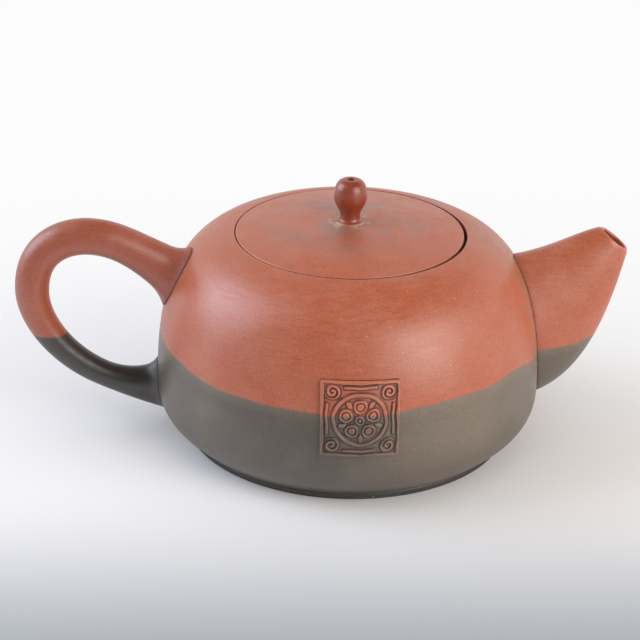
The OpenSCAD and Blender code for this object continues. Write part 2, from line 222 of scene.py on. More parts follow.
class ClayColours(bpy.types.PropertyGroup):
    clay: colour("Clay", "Fired red clay of the pot and the lid", "#b55934")
    bloom: colour("Bloom", "Paler patches of the burnished clay", "#b9694c")
    # The handle's clay and its patches are darker copies of the body's: painted shade, as the handle
    # gets less light.
    limb_painted_shade: colour("Limb clay", "Redder clay of the handle", "#a04d30")
    limb_bloom_painted_shade: colour("Limb bloom", "Paler patches of the handle", "#a6593f")
    knob: colour("Knob clay", "Knob's darker clay", "#8e3614")
    knob_bloom: colour("Knob bloom", "Paler patches of the knob", "#9a4422")
    slip: colour("Slip", "Dark dipped slip", "#544a3f")
    # The handle's slip is a darker copy of the body's slip: painted shade, as the handle gets less
    # light.
    limb_slip_painted_shade: colour("Limb slip", "Brown-black slip of the handle", "#2d2620")
    limb_slip_painted_shade_warm: colour("Warm limb slip", "Handle's slip where the clay shows through", "#3d3228")
    # The warm slip is also laid on toward the spout as painted light.
    slip_warm: colour("Warm slip", "Slip where the red clay shows through", "#85735f")
    # The foot's near-black colour also gives the painted shade on the slip toward the foot.
    foot: colour("Foot", "Bare dark ring that the pot stands on", "#211b15")
    foot_bloom: colour("Foot bloom", "Rubbed patches of the foot", "#30281f")
    inner: colour("Inner clay", "Tea-stained clay inside the pot", "#7d4630")
    # The crease colour is brown residue in the tooled lines and also painted shade: in those lines, in
    # the gap round the lid and in the knob's air hole.
    crease: colour("Crease", "Brown residue in tooled lines", "#452517")
    groove: colour("Groove", "Dark grooves between the relief's ridges", "#2f1c13")
    # The worn colour is partly wear and partly a painted highlight on rounded edges and ridges.
    worn_and_lit: colour("Worn edge", "Rubbed red edges of the relief", "#cb8367")
    root_grime: colour("Root grime", "Pale brown residue round the spout's root", "#a87f66")
    spout: colour("Spout clay", "Spout's clay", "#b25833")
    dust: colour("Dust", "Pale clay dust left round the knob", "#c99a80")
    grime: colour("Grime", "Grey smudges on the lid", "#86695c")
    speck: colour("Speck", "Pale grains of quartz and mica", "#d9b39c")


class StageLooks(bpy.types.PropertyGroup):
    distance: length("Camera distance", "Distance of the pot's origin along the view axis", 0.61617)
    across: length("Camera offset", "Origin's place to the right of the view axis", 7.99 * MM)
    below: length("Camera drop", "Origin's place below the view axis", 30.42 * MM)
    pitch: angle("Camera pitch", "How far the camera looks down", 25.4)
    yaw: angle("Camera yaw", "Turn of the camera round the pot", 3)
    roll: angle("Camera roll", "Roll of the camera", 1.12)
    lens: FloatProperty(name="Lens", description="Focal length in mm on a 36 mm frame", default=112.5)
    paper: colour("Paper", "Pale floor", "#f5f3f2")
    # The paper darkens toward the front: painted shade.
    paper_front_shade: colour("Paper front", "Floor near the front edge", "#a3a7ab")
    backdrop: colour("Backdrop", "White of the backdrop", "#fcfcfc")
    left_light: colour("Left light", "Colour of the left soft box", "#dde9ff")
    right_light: colour("Right light", "Colour of the right soft box", "#fffaf4")
    right_power: power("Right lamp", "Power of the right soft box", 6.5)
    left_power: power("Left lamp", "Power of the left soft box", 7)
    ambient: share("Ambient", "Strength of the room's own light", 0.61)


# ---------------------------------------------------------------- curves


def bezier(points, at):
    """Cubic curve: its four control points weighted by (1-t)^3, 3t(1-t)^2, 3t^2(1-t) and t^3."""
    t = np.asarray(at, float)[..., None]
    a, b, c, d = (np.asarray(p, float) for p in points)
    return (1 - t) ** 3 * a + 3 * t * (1 - t) ** 2 * b + 3 * t * t * (1 - t) * c + t**3 * d


def heading(points, at):
    """Derivative of the cubic curve, without its factor of three."""
    t = np.asarray(at, float)[..., None]
    a, b, c, d = (np.asarray(p, float) for p in points)
    return (1 - t) ** 2 * (b - a) + 2 * t * (1 - t) * (c - b) + t * t * (d - c)


def parallel(points, at, depth):
    """The curve moved to its inner side: each point less depth times the unit normal (dz, -dr)."""
    run = heading(points, at)
    normal = np.stack((run[..., 1], -run[..., 0]), -1) / np.linalg.norm(run, axis=-1)[..., None]
    return bezier(points, at) - depth * normal


def towards(slope):
    """Unit vector in the (radius, height) plane at that slope in radians."""
    return np.array((math.cos(slope), math.sin(slope)))


def ease(x):
    """Smooth step: 3u^2 - 2u^3 of x held between 0 and 1."""
    u = np.clip(x, 0, 1)
    return u * u * (3 - 2 * u)


def bell(distance, width):
    """Gauss bell, exp(-(distance/width)^2)."""
    return np.exp(-((distance / width) ** 2))


def cut(run, start, stop):
    """Run of points shortened by start at its first end and by stop at its last, along its length."""
    along = np.concatenate(([0], np.cumsum(np.linalg.norm(np.diff(run, axis=0), axis=1))))
    inner = along[(along > start + 1e-9) & (along < along[-1] - stop - 1e-9)]
    kept = np.concatenate(([start], inner, [along[-1] - stop]))
    return np.stack([np.interp(kept, along, run[:, k]) for k in range(run.shape[1])], -1)


def joined(runs, radii, closed=True, steps=6):
    """Outline made of runs that meet at corners. Corner k, where run k ends, gives way to the
    quadratic curve that starts radius before it, is pulled toward it and ends radius after it.
    Returns the points and, for each, how near it is to a rounded corner (1 on it, 0 away)."""
    number = len(runs)
    parts, near = [], []
    for k, run in enumerate(runs):
        before = radii[k - 1] if closed or k else 0
        after = radii[k] if closed or k < number - 1 else 0
        stretch = cut(np.asarray(run, float), before, after)
        parts.append(stretch)
        near.append(np.zeros(len(stretch)))
        if after:
            following = cut(np.asarray(runs[(k + 1) % number], float), after, 0)[0]
            t = np.linspace(0, 1, steps + 1)[1:-1, None]
            corner = np.asarray(run[-1], float)
            parts.append((1 - t) ** 2 * stretch[-1] + 2 * t * (1 - t) * corner + t * t * following)
            near.append(np.ones(steps - 1))
    points, near = np.concatenate(parts), np.concatenate(near)
    gaps = np.linalg.norm(points - np.roll(points, 1, axis=0), axis=1)
    keep = gaps > 1e-7
    keep[0] = keep[0] or not closed
    return points[keep], near[keep]


# ---------------------------------------------------------------- surfaces


def quads(index):
    """Faces (i,j), (i,j+1), (i+1,j+1), (i+1,j) of a grid of point numbers."""
    faces = np.stack((index[:-1, :-1], index[:-1, 1:], index[1:, 1:], index[1:, :-1]), -1)
    return faces.reshape(-1, 4).tolist()


def surface(name, grid, wrap_rows=False, marks=None):
    """Puts a grid of points into a mesh of quads whose faces look the way of (column step) x
    (row step). The columns, and the rows where they wrap, join their last line to their first,
    and points that fall together at a pole are merged."""
    index = np.arange(grid.shape[0] * grid.shape[1]).reshape(grid.shape[:2])
    if wrap_rows:
        index = np.vstack((index, index[:1]))
    index = np.hstack((index, index[:, :1]))
    return shape(name, grid.reshape(-1, 3), quads(index), marks)


def shape(name, points, faces, marks=None):
    """Object at the origin from arrays of points and faces, with one float attribute per mark."""
    mesh = bpy.data.meshes.new(name)
    mesh.from_pydata(points.tolist(), [], faces)
    for mark, values in (marks or {}).items():
        layer = mesh.attributes.new(mark, "FLOAT", "POINT")
        layer.data.foreach_set("value", np.ascontiguousarray(values, np.float32).ravel())
    work = bmesh.new()
    work.from_mesh(mesh)
    bmesh.ops.remove_doubles(work, verts=work.verts, dist=1e-7)
    work.to_mesh(mesh)
    work.free()
    mesh.shade_smooth()
    piece = bpy.data.objects.new(name, mesh)
    bpy.context.scene.collection.objects.link(piece)
    return piece


def turned(profile, centre=(0, 0), sides=256):
    """Turned grid: profile point (r, z) at angle a is (cx + r cos a, cy + r sin a, z)."""
    a = np.arange(sides) * 2 * np.pi / sides
    r, z = profile[:, 0, None], profile[:, 1, None]
    return np.stack((centre[0] + r * np.cos(a), centre[1] + r * np.sin(a), z + 0 * a), -1)


def turned_piece(name, profile, near, centre=(0, 0), sides=256, closed=True, **extra):
    """Turned piece whose rounded corners carry the mark 'edge', with any further marks given
    for each point of the profile."""
    marks = {key: np.repeat(values, sides) for key, values in {"edge": near, **extra}.items()}
    return surface(name, turned(profile, centre, sides), wrap_rows=closed, marks=marks)


def line(*points, steps=1):
    """Straight run through the points, each stretch in that many steps."""
    p = np.asarray(points, float)
    t = np.linspace(0, 1, steps + 1)
    parts = [p[k] + (p[k + 1] - p[k]) * t[(1 if k else 0) :, None] for k in range(len(p) - 1)]
    return np.concatenate(parts)


def square_ring(inside, outside, low, high, rounding, steps=4):
    """Profile of a ring of rectangular section, from its lower inner corner outward. The four
    roundings go from the lower outer corner round to the lower inner one."""
    corners = ((inside, low), (outside, low), (outside, high), (inside, high))
    return joined([line(corners[k], corners[(k + 1) % 4], steps=steps) for k in range(4)], rounding)


def crease_residue_and_shade(away, joint):
    """Stain by the distance from a tooled line, partly residue and partly painted shade in the
    crease: a bell on a faint one three times as wide.
    """
    return np.maximum(bell(away, joint.stain_and_shade), 0.4 * bell(away, 3 * joint.stain_and_shade))


def settle(piece, body, slot, finish_name, *nodes):
    """Gives a piece its body and finish, and hides the CAD nodes that it stands for. The slot is not
    used.
    """
    piece.data.materials.clear()
    piece.data.materials.append(finish(finish_name))
    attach(piece, body)
    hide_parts(*nodes)
    return piece


# ---------------------------------------------------------------- the pot's outline


# Pulls of the lower curve at the toe and at the belly, as shares of its rise.
TOE_PULL, BELLY_PULL = 0.38, 0.58


def pot_curves(pot):
    """The two cubic curves of the outer outline, foot to belly and belly to mouth."""
    toe = np.array((pot.foot_radius + pot.foot_step, pot.foot_height))
    belly = np.array((pot.belly_radius, pot.belly_height))
    rim = np.array((pot.mouth_radius, pot.mouth_height))
    low_rise, high_rise = belly[1] - toe[1], rim[1] - belly[1]
    rising = TOE_PULL * low_rise * towards(pot.toe_slope)
    low = (toe, toe + rising, belly - (0, BELLY_PULL * low_rise), belly)
    shoulder = rim + pot.shoulder_fullness * (belly[0] - rim[0]) * towards(-pot.shoulder_slope)
    high = (belly, belly + (0, pot.belly_fullness * high_rise), shoulder, rim)
    return low, high


def outer_line(pot, offset=0.0, low_steps=20, high_steps=84):
    """Outer outline from toe to mouth, moved outward by offset."""
    low, high = pot_curves(pot)
    return np.concatenate(
        (
            parallel(low, np.linspace(0, 1, low_steps + 1)[:-1], -offset),
            parallel(high, np.linspace(0, 1, high_steps + 1), -offset),
        )
    )


def pot_radius(pot, height):
    """Outer radius at a height, with the toe's radius below it and 0 above the mouth."""
    points = outer_line(pot, low_steps=200, high_steps=800)
    return np.interp(height, points[:, 1], points[:, 0], right=0)


def leaves_pot(pot, lines, start, stop, samples=600):
    """Share at which each line of a surface last leaves the pot on its way from start to stop:
    the last sample inside the outline, moved on by the straight-line estimate to the face. A
    line that is never inside begins at start."""
    at = np.linspace(start, stop, samples)[:, None]
    points = lines(at)
    gap = np.hypot(points[..., 0], points[..., 1]) - pot_radius(pot, points[..., 2])
    inside = gap < 0
    inside[0] = True
    last = samples - 1 - np.argmax(inside[::-1], axis=0)
    last = np.minimum(last, samples - 2)
    columns = np.arange(gap.shape[1])
    before, after = gap[last, columns], gap[last + 1, columns]
    return at[last, 0] + (stop - start) / (samples - 1) * np.clip(before / (before - after), 0, 1)


def gap_painted_shade(profile, radius, pot):
    """Marks the points of a profile that face the gap round the lid, which take the crease colour as
    painted shade in the gap.
    """
    facing = np.abs(profile[:, 0] - radius) < 0.1 * MM
    return facing & (profile[:, 1] < pot.mouth_height - 0.25 * MM)


# Distances of the first rows of the spout and the handle from the wall that they leave.
ROOT_STEPS = np.array((-0.6, -0.25, 0, 0.08, 0.16, 0.24, 0.33, 0.44, 0.6, 0.8, 1.1, 1.5, 2, 2.7)) * MM


# ---------------------------------------------------------------- finishes

SMOOTH = {"interpolation_type": "SMOOTHSTEP"}
PLUS = {"operation": "ADD"}
LESS = {"operation": "SUBTRACT"}
TIMES = {"operation": "MULTIPLY"}
POWER = {"operation": "POWER"}
GREATEST = {"operation": "MAXIMUM"}
SCALED = {"operation": "MULTIPLY_ADD"}


def per_metre(millimetres):
    """Texture scale whose features are that many millimetres wide."""
    return 1000 / millimetres


def add(tree, kind, *inputs, out=0, **settings):
    """Adds a node, sets its properties, sets or links its inputs and gives back one output, or
    all of them where out is None. The inputs come in order, or as one dict by name or number."""
    made = tree.nodes.new("ShaderNode" + kind)
    for name, value in settings.items():
        setattr(made, name, value)
    by_key = inputs[0] if inputs and isinstance(inputs[0], dict) else dict(enumerate(inputs))
    for key, value in by_key.items():
        socket = made.inputs[key]
        if isinstance(value, bpy.types.NodeSocket):
            tree.links.new(value, socket)
        elif socket.type == "RGBA":
            socket.default_value = (*value[:3], 1)
        else:
            socket.default_value = value
    return made.outputs if out is None else made.outputs[out]


def layered(tree, base, layers):
    """Colour of a base under a list of layers, each a mask of 0 to 1 and its own colour."""
    for mask, layer in layers:
        base = add(tree, "Mix", {0: mask, 6: base, 7: layer}, out=2, data_type="RGBA")
    return base


def cleared(block):
    """The empty node tree of a new material or world."""
    block.use_nodes = True
    block.node_tree.nodes.clear()
    return block.node_tree


# Widths of the patterns in millimetres, and their octaves. Real sand is 0.2 mm, which is too
# fine to show, so it is drawn at 0.5 mm.
PATTERNS = {
    "patches": (11, 3),
    "sand": (0.5, 2),
    "smear": (17, 4),
    "wander": (13, 4),
    "dapple": (2.6, 4),
}
STROKE_LENGTH, STROKE_FLATNESS, STROKE_OCTAVES = 5, 10, 4
# Pale grains and pits lie in cells of that width: the share of cells that hold each, and where
# the grain fades out and is full, as shares of the cell, with its strength there.
GRAIN_SPACING, GRAIN_SHARE, PIT_SHARE, GRAIN_FADE = 1.7, 0.07, 0.04, (0.17, 0.08, 0, 0.5)
SAND_HEIGHT, STROKE_HEIGHT, PIT_DEPTH = 0.02, 0.035, 0.05

# What the patterns do to the clay, each with the pattern, the two values it runs between and
# the two strengths it runs to: pale patches, grey of the sand and of the strokes, and the stain
# in the tooled lines, partly residue and partly painted shade, which also lays painted shade in
# the gap round the lid and in the knob's air hole.
CLAY_FADES = (
    ("patches", 0.35, 0.7, 0, 0.6),
    ("sand", 0.3, 0.7, 0.88, 1.12),
    ("strokes", 0.3, 0.7, 0.95, 1.05),
    ("dapple", 0.32, 0.6, 0.3, 0.7),
)
# Strength of the rubbed edges, paler partly from wear and partly as a painted highlight, the
# strokes' hold on the roughness, and the roughness that the tooled lines add. Fired clay has an
# IOR near 1.6, and its rubbed skin shines a little more.
EDGE_WEAR_AND_HIGHLIGHT, STROKE_GLOSS, CREASE_MATT, IOR = 0.3, (-0.06, 0.08), 0.4, 1.8
# Ridges of the plaque rubbed to the clay, partly a painted highlight, and its dark grooves:
# their strength, half of it where the dapple breaks them up between two values, and the share
# of the rubbing that reaches through the slip.
RELIEF_STRENGTHS, RELIEF_BREAKS, RUB_SHARE = {"raised": 0.5, "hollow": 0.85}, (0.3, 0.6), 0.55

# The dip line stands at 31.6 mm and changes by the last value between the two distances along
# the axis from handle to spout, in millimetres: the pot was dipped a little askew. Its edge
# wavers with two of the patterns, and the slip fades in between the last two distances below it.
DIP_HEIGHT = 31.6
DIP_CHANGES = ((0, 25, 1.4), (46, 56, -3.6), (66, 74, 1.6), (-36, -52, 1.2), (-62, -85, -2.6))
DIP_WAVER = (("wander", -1.8 * MM), ("dapple", -0.7 * MM))
DIP_EDGE = (-0.8 * MM, -1.7 * MM)

# Fades of the slip, each with what it follows, the two values it runs between and the two
# strengths it runs to: warmer and lighter toward the spout, where the right soft box falls, a
# painted light, less so at the far end; warmer in clouds, and where it is thin at its edge;
# darker toward the foot, a painted shade, and less so toward the handle.
SLIP_FADES = (
    ("x", -5 * MM, 25 * MM, 0, 0.6),
    ("x", 32 * MM, 54 * MM, 1, 0.35),
    ("smear", 0.38, 0.72, 0, 0.35),
    ("above", -5 * MM, -1 * MM, 0, 0.35),
    ("z", 24 * MM, 5 * MM, 0, 0.5),
    ("x", -30 * MM, 8 * MM, 0.3, 1),
)

# Residue on the body round the spout's root: centres and half axes of its ellipse in y and z,
# in millimetres, then the fades by the distance in half axes, by x and by the pattern.
ROOT_ELLIPSE = (("y", 0, 13.8), ("z", 31.6, 22.5))
ROOT_FADES = (
    ("reach", 1.7, 1.03, 0, 1),
    ("reach", 0.9, 0.99, 0, 1),
    ("x", 34 * MM, 38 * MM, 0, 1),
    ("dapple", 0.36, 0.62, 0.15, 0.75),
)

# Dust round the knob and smudges on the lid: each the product of a fade by the distance from
# the lid's centre and one by a pattern.
LID_FADES = {
    "grime": (("radius", 30 * MM, 9 * MM, 0, 1), ("smear", 0.42, 0.6, 0, 0.75)),
    "dust": (("radius", 7.4 * MM, 5 * MM, 0, 1), ("dapple", 0.45, 0.62, 0, 0.75)),
}

# Fades of the paper, in metres from the pot: darker before it, a painted shade, white behind
# it, white far before it, and the pool of light at the right.
PAPER_FADES = (
    ("back", -0.04, -0.14),
    ("back", -0.04, 0.2),
    ("back", -0.13, -0.24),
    ("side", 0.02, 0.14),
)

# Fades of the room by the direction: from its dim part before the pot to the white backdrop,
# and up to its dim ceiling.
BACKDROP_FADE, CEILING_FADE = (-0.35, 0.25, 0.16, 1), (0.5, 0.8, 1, 0.15)

# Each finish with its clay and its paler patches, and what sets it apart from plain rubbed clay.
FINISHES = {
    # Dipped clay: red with a soft shine above the dip line, dry brown-grey below it.
    "burnished_zisha_dipped_in_slip": dict(clay="clay", patch="bloom", slip="slip", grimy=True),
    # The spout is handled wet and rubbed more, so that its lights are sharper.
    "burnished_zisha_spout_dipped_in_slip": dict(clay="spout", patch="bloom", gloss=0.36, slip="slip"),
    # The handle's clay and slip are darker copies of the body's: painted shade, as the handle gets
    # less light.
    "burnished_zisha_limb_dipped_in_slip": dict(clay="limb_painted_shade", patch="limb_bloom_painted_shade", slip="limb_slip_painted_shade"),
    # The lid and the collar keep pale dust and grey smudges.
    "burnished_zisha_dusty": dict(clay="clay", patch="bloom", dusty=True),
    # Clay that is never rubbed inside the pot: matt and stained brown by tea.
    "thrown_zisha_unburnished": dict(clay="inner", patch="inner", gloss=0.62),
    # Slip on the trimmed underside, which no tool has rubbed.
    "slipped_zisha_matt": dict(clay="slip", patch="slip_warm", gloss=0.6, slip="slip"),
    # The foot ring is near black.
    "rubbed_zisha_foot": dict(clay="foot", patch="foot_bloom", gloss=0.5),
    # The knob is held at every use and shines most.
    "rubbed_zisha_knob": dict(clay="knob", patch="knob_bloom", gloss=0.33),
    # Pressed clay whose slip stays dark in the grooves and is rubbed to red on the ridges, partly
    # a painted highlight, with painted shade where the plaque meets the wall.
    "pressed_zisha_dipped_and_rubbed": dict(clay="clay", patch="bloom", slip="slip", relief=True),
}


def finish(name):
    """The material of that name, made on first use."""
    return bpy.data.materials.get(name) or burnished_clay(name, **FINISHES[name])


def burnished_clay(name, clay, patch, gloss=0.4, slip=None, relief=False, dusty=False, grimy=False):
    """Zisha stoneware, fired unglazed and rubbed with a horn blade before firing.

    The eye sees fine sand in a dense body, pale grains, paler patches a centimetre wide and
    level rubbing strokes that only show in the sheen. Below the dip line a dark slip covers it.
    """
    looks = bpy.context.scene.teapot_clay
    material = bpy.data.materials.new(name)
    tree = cleared(material)
    place = add(tree, "TexCoord", out="Object")
    at = dict(zip("xyz", add(tree, "SeparateXYZ", place, out=None)))
    for key, (wide, octaves) in PATTERNS.items():
        inputs = {"Vector": place, "Scale": per_metre(wide), "Detail": octaves}
        at[key] = add(tree, "TexNoise", inputs)
    level = add(tree, "Mapping", {"Vector": place, "Scale": (1, 1, STROKE_FLATNESS)})
    inputs = {"Vector": level, "Scale": per_metre(STROKE_LENGTH), "Detail": STROKE_OCTAVES}
    at["strokes"] = add(tree, "TexNoise", inputs)
    cells = add(tree, "TexVoronoi", {"Vector": place, "Scale": per_metre(GRAIN_SPACING)}, out=None)
    chance = add(tree, "SeparateColor", cells["Color"], out=None)
    for key in ("edge", "crease", "inside", "raised", "hollow"):
        at[key] = add(tree, "Attribute", out="Fac", attribute_name=key)

    patchy, sandy, drawn, stain_and_shade = (
        add(tree, "MapRange", at[key], *ends, **SMOOTH) for key, *ends in CLAY_FADES
    )
    layers = [(patchy, getattr(looks, patch))]
    grain_colour = looks.speck
    if slip:
        dark, warm = getattr(looks, slip), getattr(looks, slip + "_warm")
        # The foot's colour gives the painted shade on the slip toward the foot.
        at["slipped"], cover = dip(tree, at, dark, warm, looks.foot)
        layers += [(at["slipped"], cover), (at["inside"], looks.inner)]
        if grimy:
            layers.append((root_grime(tree, at), looks.root_grime))
        grain_colour = layered(tree, looks.speck, [(at["slipped"], warm)])
    clay_colour = layered(tree, getattr(looks, clay), layers)

    grey = add(tree, "Math", sandy, drawn, **TIMES)
    tone = add(tree, "CombineColor", grey, grey, grey)
    inputs = {0: 1.0, 6: clay_colour, 7: tone}
    clay_colour = add(tree, "Mix", inputs, out=2, data_type="RGBA", blend_type="MULTIPLY")

    near = add(tree, "MapRange", cells["Distance"], *GRAIN_FADE, **SMOOTH)
    rare = add(tree, "Math", chance[0], 1 - GRAIN_SHARE, operation="GREATER_THAN")
    sparse = add(tree, "Math", chance[1], PIT_SHARE, operation="LESS_THAN")
    grains = add(tree, "Math", near, rare, **TIMES)
    pits = add(tree, "Math", near, sparse, **TIMES)
    # Rounded edges turn paler, partly from wear and partly as a painted highlight.
    worn_and_lit = add(tree, "Math", at["edge"], EDGE_WEAR_AND_HIGHLIGHT, **TIMES)
    layers = [(grains, grain_colour), (pits, looks.crease), (worn_and_lit, looks.worn_and_lit)]
    if relief:
        layers += rubbed_relief(tree, at, looks)
    if dusty:
        layers += lid_dust(tree, at, looks)
    # Crease colour: residue with painted shade in the tooled lines, and painted shade alone in the
    # lid's gap and the air hole.
    stain_and_shade = add(tree, "Math", stain_and_shade, at["crease"], **TIMES)
    clay_colour = layered(tree, clay_colour, layers + [(stain_and_shade, looks.crease)])

    ends = (gloss + change for change in STROKE_GLOSS)
    rough = add(tree, "MapRange", at["strokes"], 0.3, 0.7, *ends)
    rough = add(tree, "Math", at["crease"], CREASE_MATT, rough, **SCALED)
    rise = add(tree, "Math", at["sand"], SAND_HEIGHT, **TIMES)
    rise = add(tree, "Math", at["strokes"], STROKE_HEIGHT, rise, **SCALED)
    rise = add(tree, "Math", pits, -PIT_DEPTH, rise, **SCALED)
    bump = add(tree, "Bump", {"Height": rise, "Distance": MM, "Strength": 1.0})
    inputs = {"Base Color": clay_colour, "Roughness": rough, "Normal": bump, "IOR": IOR}
    add(tree, "OutputMaterial", add(tree, "BsdfPrincipled", inputs), out=None)
    return material


def dip(tree, at, dark, warm, low_shade_colour):
    """Mask of the slip below the dip line, and the slip's colour, with painted light toward the
    spout and painted shade toward the foot.
    """
    level = DIP_HEIGHT * MM
    for start, stop, rise in DIP_CHANGES:
        change = add(tree, "MapRange", at["x"], start * MM, stop * MM, 0, rise * MM, **SMOOTH)
        level = add(tree, "Math", level, change, **PLUS)
    above = add(tree, "Math", at["z"], level, **LESS)
    for key, waver in DIP_WAVER:
        above = add(tree, "Math", at[key], waver, above, **SCALED)
    slipped = add(tree, "MapRange", above, *DIP_EDGE, **SMOOTH)
    outside = add(tree, "Math", 1.0, at["inside"], **LESS)
    slipped = add(tree, "Math", slipped, outside, **TIMES)
    at = {**at, "above": above}
    sunny, far, clouds, thin, low, front = (
        add(tree, "MapRange", at[key], *ends, **SMOOTH) for key, *ends in SLIP_FADES
    )
    # Painted light on the slip toward the spout, weaker at the far end.
    sunny = add(tree, "Math", sunny, far, **TIMES)
    # Painted shade on the slip toward the foot, weaker toward the handle.
    low = add(tree, "Math", low, front, **TIMES)
    return slipped, layered(tree, dark, [(sunny, warm), (clouds, warm), (thin, warm), (low, low_shade_colour)])


def root_grime(tree, at):
    """Mask of a broken band of brown residue on the pot round the spout's root."""
    squares = []
    for axis, centre, half in ROOT_ELLIPSE:
        offset = add(tree, "Math", at[axis], centre * MM, **LESS)
        offset = add(tree, "Math", offset, half * MM, operation="DIVIDE")
        squares.append(add(tree, "Math", offset, 2.0, **POWER))
    reach = add(tree, "Math", *squares, **PLUS)
    at = {**at, "reach": add(tree, "Math", reach, operation="SQRT")}
    mask, *others = (add(tree, "MapRange", at[key], *ends, **SMOOTH) for key, *ends in ROOT_FADES)
    for other in others:
        mask = add(tree, "Math", mask, other, **TIMES)
    return mask


def lid_dust(tree, at, looks):
    """Layers on the lid: grey smudges, then a broken ring of pale dust round the knob."""
    squares = []
    for axis, centre in zip("xy", LID_CENTRE):
        offset = add(tree, "Math", at[axis], centre, **LESS)
        squares.append(add(tree, "Math", offset, 2.0, **POWER))
    square = add(tree, "Math", *squares, **PLUS)
    at = {**at, "radius": add(tree, "Math", square, operation="SQRT")}
    layers = []
    for name, fades in LID_FADES.items():
        parts = (add(tree, "MapRange", at[key], *ends, **SMOOTH) for key, *ends in fades)
        layers.append((add(tree, "Math", *parts, **TIMES), getattr(looks, name)))
    return layers


def rubbed_relief(tree, at, looks):
    """Layers on the plaque: ridges rubbed to the red clay, which is partly a painted highlight,
    less so through the slip, and dark grooves, with painted shade where the plaque meets the
    wall, both broken up by a pattern."""
    bare = add(tree, "MapRange", at["slipped"], 0, 1, 1, RUB_SHARE)
    layers = []
    for key, tint in (("raised", looks.worn_and_lit), ("hollow", looks.groove)):
        ends = (*RELIEF_BREAKS, RELIEF_STRENGTHS[key] / 2, RELIEF_STRENGTHS[key])
        mask = add(tree, "MapRange", at["dapple"], *ends, **SMOOTH)
        for factor in (bare, at[key]) if key == "raised" else (at[key],):
            mask = add(tree, "Math", mask, factor, **TIMES)
        layers.append((mask, tint))
    return layers


def paper_sweep(stage):
    """Matt background paper. It turns white far behind and far before the pot, in the gloss
    only in a pool of light at the right, and darker just in front, a painted shade; in between
    it takes the pot's shadow."""
    material = bpy.data.materials.new("matt_background_paper")
    tree = cleared(material)
    place = add(tree, "TexCoord", out="Object")
    side, back, _ = add(tree, "SeparateXYZ", place, out=None)
    axes = {"back": back, "side": side}
    front, far, near, pool = (
        add(tree, "MapRange", axes[key], *ends, **SMOOTH) for key, *ends in PAPER_FADES
    )
    # Painted shade: the paper darkens before the pot.
    paper = layered(tree, stage.paper, [(front, stage.paper_front_shade)])
    matt = add(tree, "BsdfDiffuse", {"Color": paper})
    white = add(tree, "Emission", {"Color": stage.backdrop, "Strength": 1.0})
    camera = add(tree, "LightPath", out="Is Camera Ray")
    pool = add(tree, "Math", pool, camera, **GREATEST)
    near = add(tree, "Math", near, pool, **TIMES)
    share_white = add(tree, "Math", far, near, **GREATEST)
    share_white = add(tree, "Math", share_white, seen_directly(tree), **TIMES)
    shade = add(tree, "MixShader", share_white, matt, white)
    add(tree, "OutputMaterial", shade, out=None)
    return material


def seen_directly(tree):
    """1 for what the camera, a gloss or a transmission sees, and 0 for diffuse light."""
    path = add(tree, "LightPath", out=None)
    seen = path["Is Camera Ray"]
    for other in ("Is Glossy Ray", "Is Transmission Ray"):
        seen = add(tree, "Math", seen, path[other], **GREATEST)
    return seen


# ---------------------------------------------------------------- operators


class TEAPOT_OT_pot(bpy.types.Operator):
    """Turned shell of the pot: its outer outline, the mouth's edge and the inner face, bored
    through toward the spout"""

    bl_idname = "teapot.pot"
    bl_label = "Pot shell"

    def execute(self, context):
        pot = context.scene.teapot_pot
        outer = outer_line(pot)
        inner = outer_line(pot, -pot.wall, low_steps=12, high_steps=48)[::-1]
        inner = inner[(inner[:, 0] > pot.mouth_radius + 0.2 * MM) | (inner[:, 1] < pot.belly_height)]
        seat = (pot.mouth_radius, pot.ledge_height)
        runs = (
            outer,
            line(outer[-1], seat, steps=4),
            np.vstack((seat, inner)),
            line(inner[-1], outer[0]),
        )
        profile, near = joined(runs, (pot.edge, 0, 0, pot.edge))
        # The walls in the gap round the lid get painted shade.
        gap_shaded = gap_painted_shade(profile, pot.mouth_radius, pot)
        deep = pot_radius(pot, profile[:, 1]) - profile[:, 0] > pot.wall / 2
        inside = deep & (profile[:, 1] < pot.ledge_height + 0.05 * MM)
        marks = {"crease": gap_shaded, "inside": inside}
        shell = turned_piece("pot_shell", profile, near, sides=pot.sides, **marks)
        drill = self.drill(pot)
        bore = shell.modifiers.new("passage", "BOOLEAN")
        bore.operation, bore.solver, bore.object = "DIFFERENCE", "EXACT", drill
        depsgraph = context.evaluated_depsgraph_get()
        bored = bpy.data.meshes.new_from_object(shell.evaluated_get(depsgraph))
        shell.modifiers.clear()
        shell.data = bored
        bpy.data.objects.remove(drill)
        nodes = ("body_wall", "shoulder_disc")
        settle(shell, "pot", "body_clay", "burnished_zisha_dipped_in_slip", *nodes)
        return {"FINISHED"}

    def drill(self, pot):
        """Closed cylinder along +X: (x, r cos a, z + r sin a), with its ends drawn to the axis."""
        a = np.arange(96) * 2 * np.pi / 96
        x = np.array((0.6, 0.6, 1.3, 1.3))[:, None] * pot.belly_radius
        r = np.array((0, 1, 1, 0))[:, None] * pot.passage
        height = pot.passage_height
        return surface("drill", np.stack((x + 0 * a, r * np.cos(a), height + r * np.sin(a)), -1))


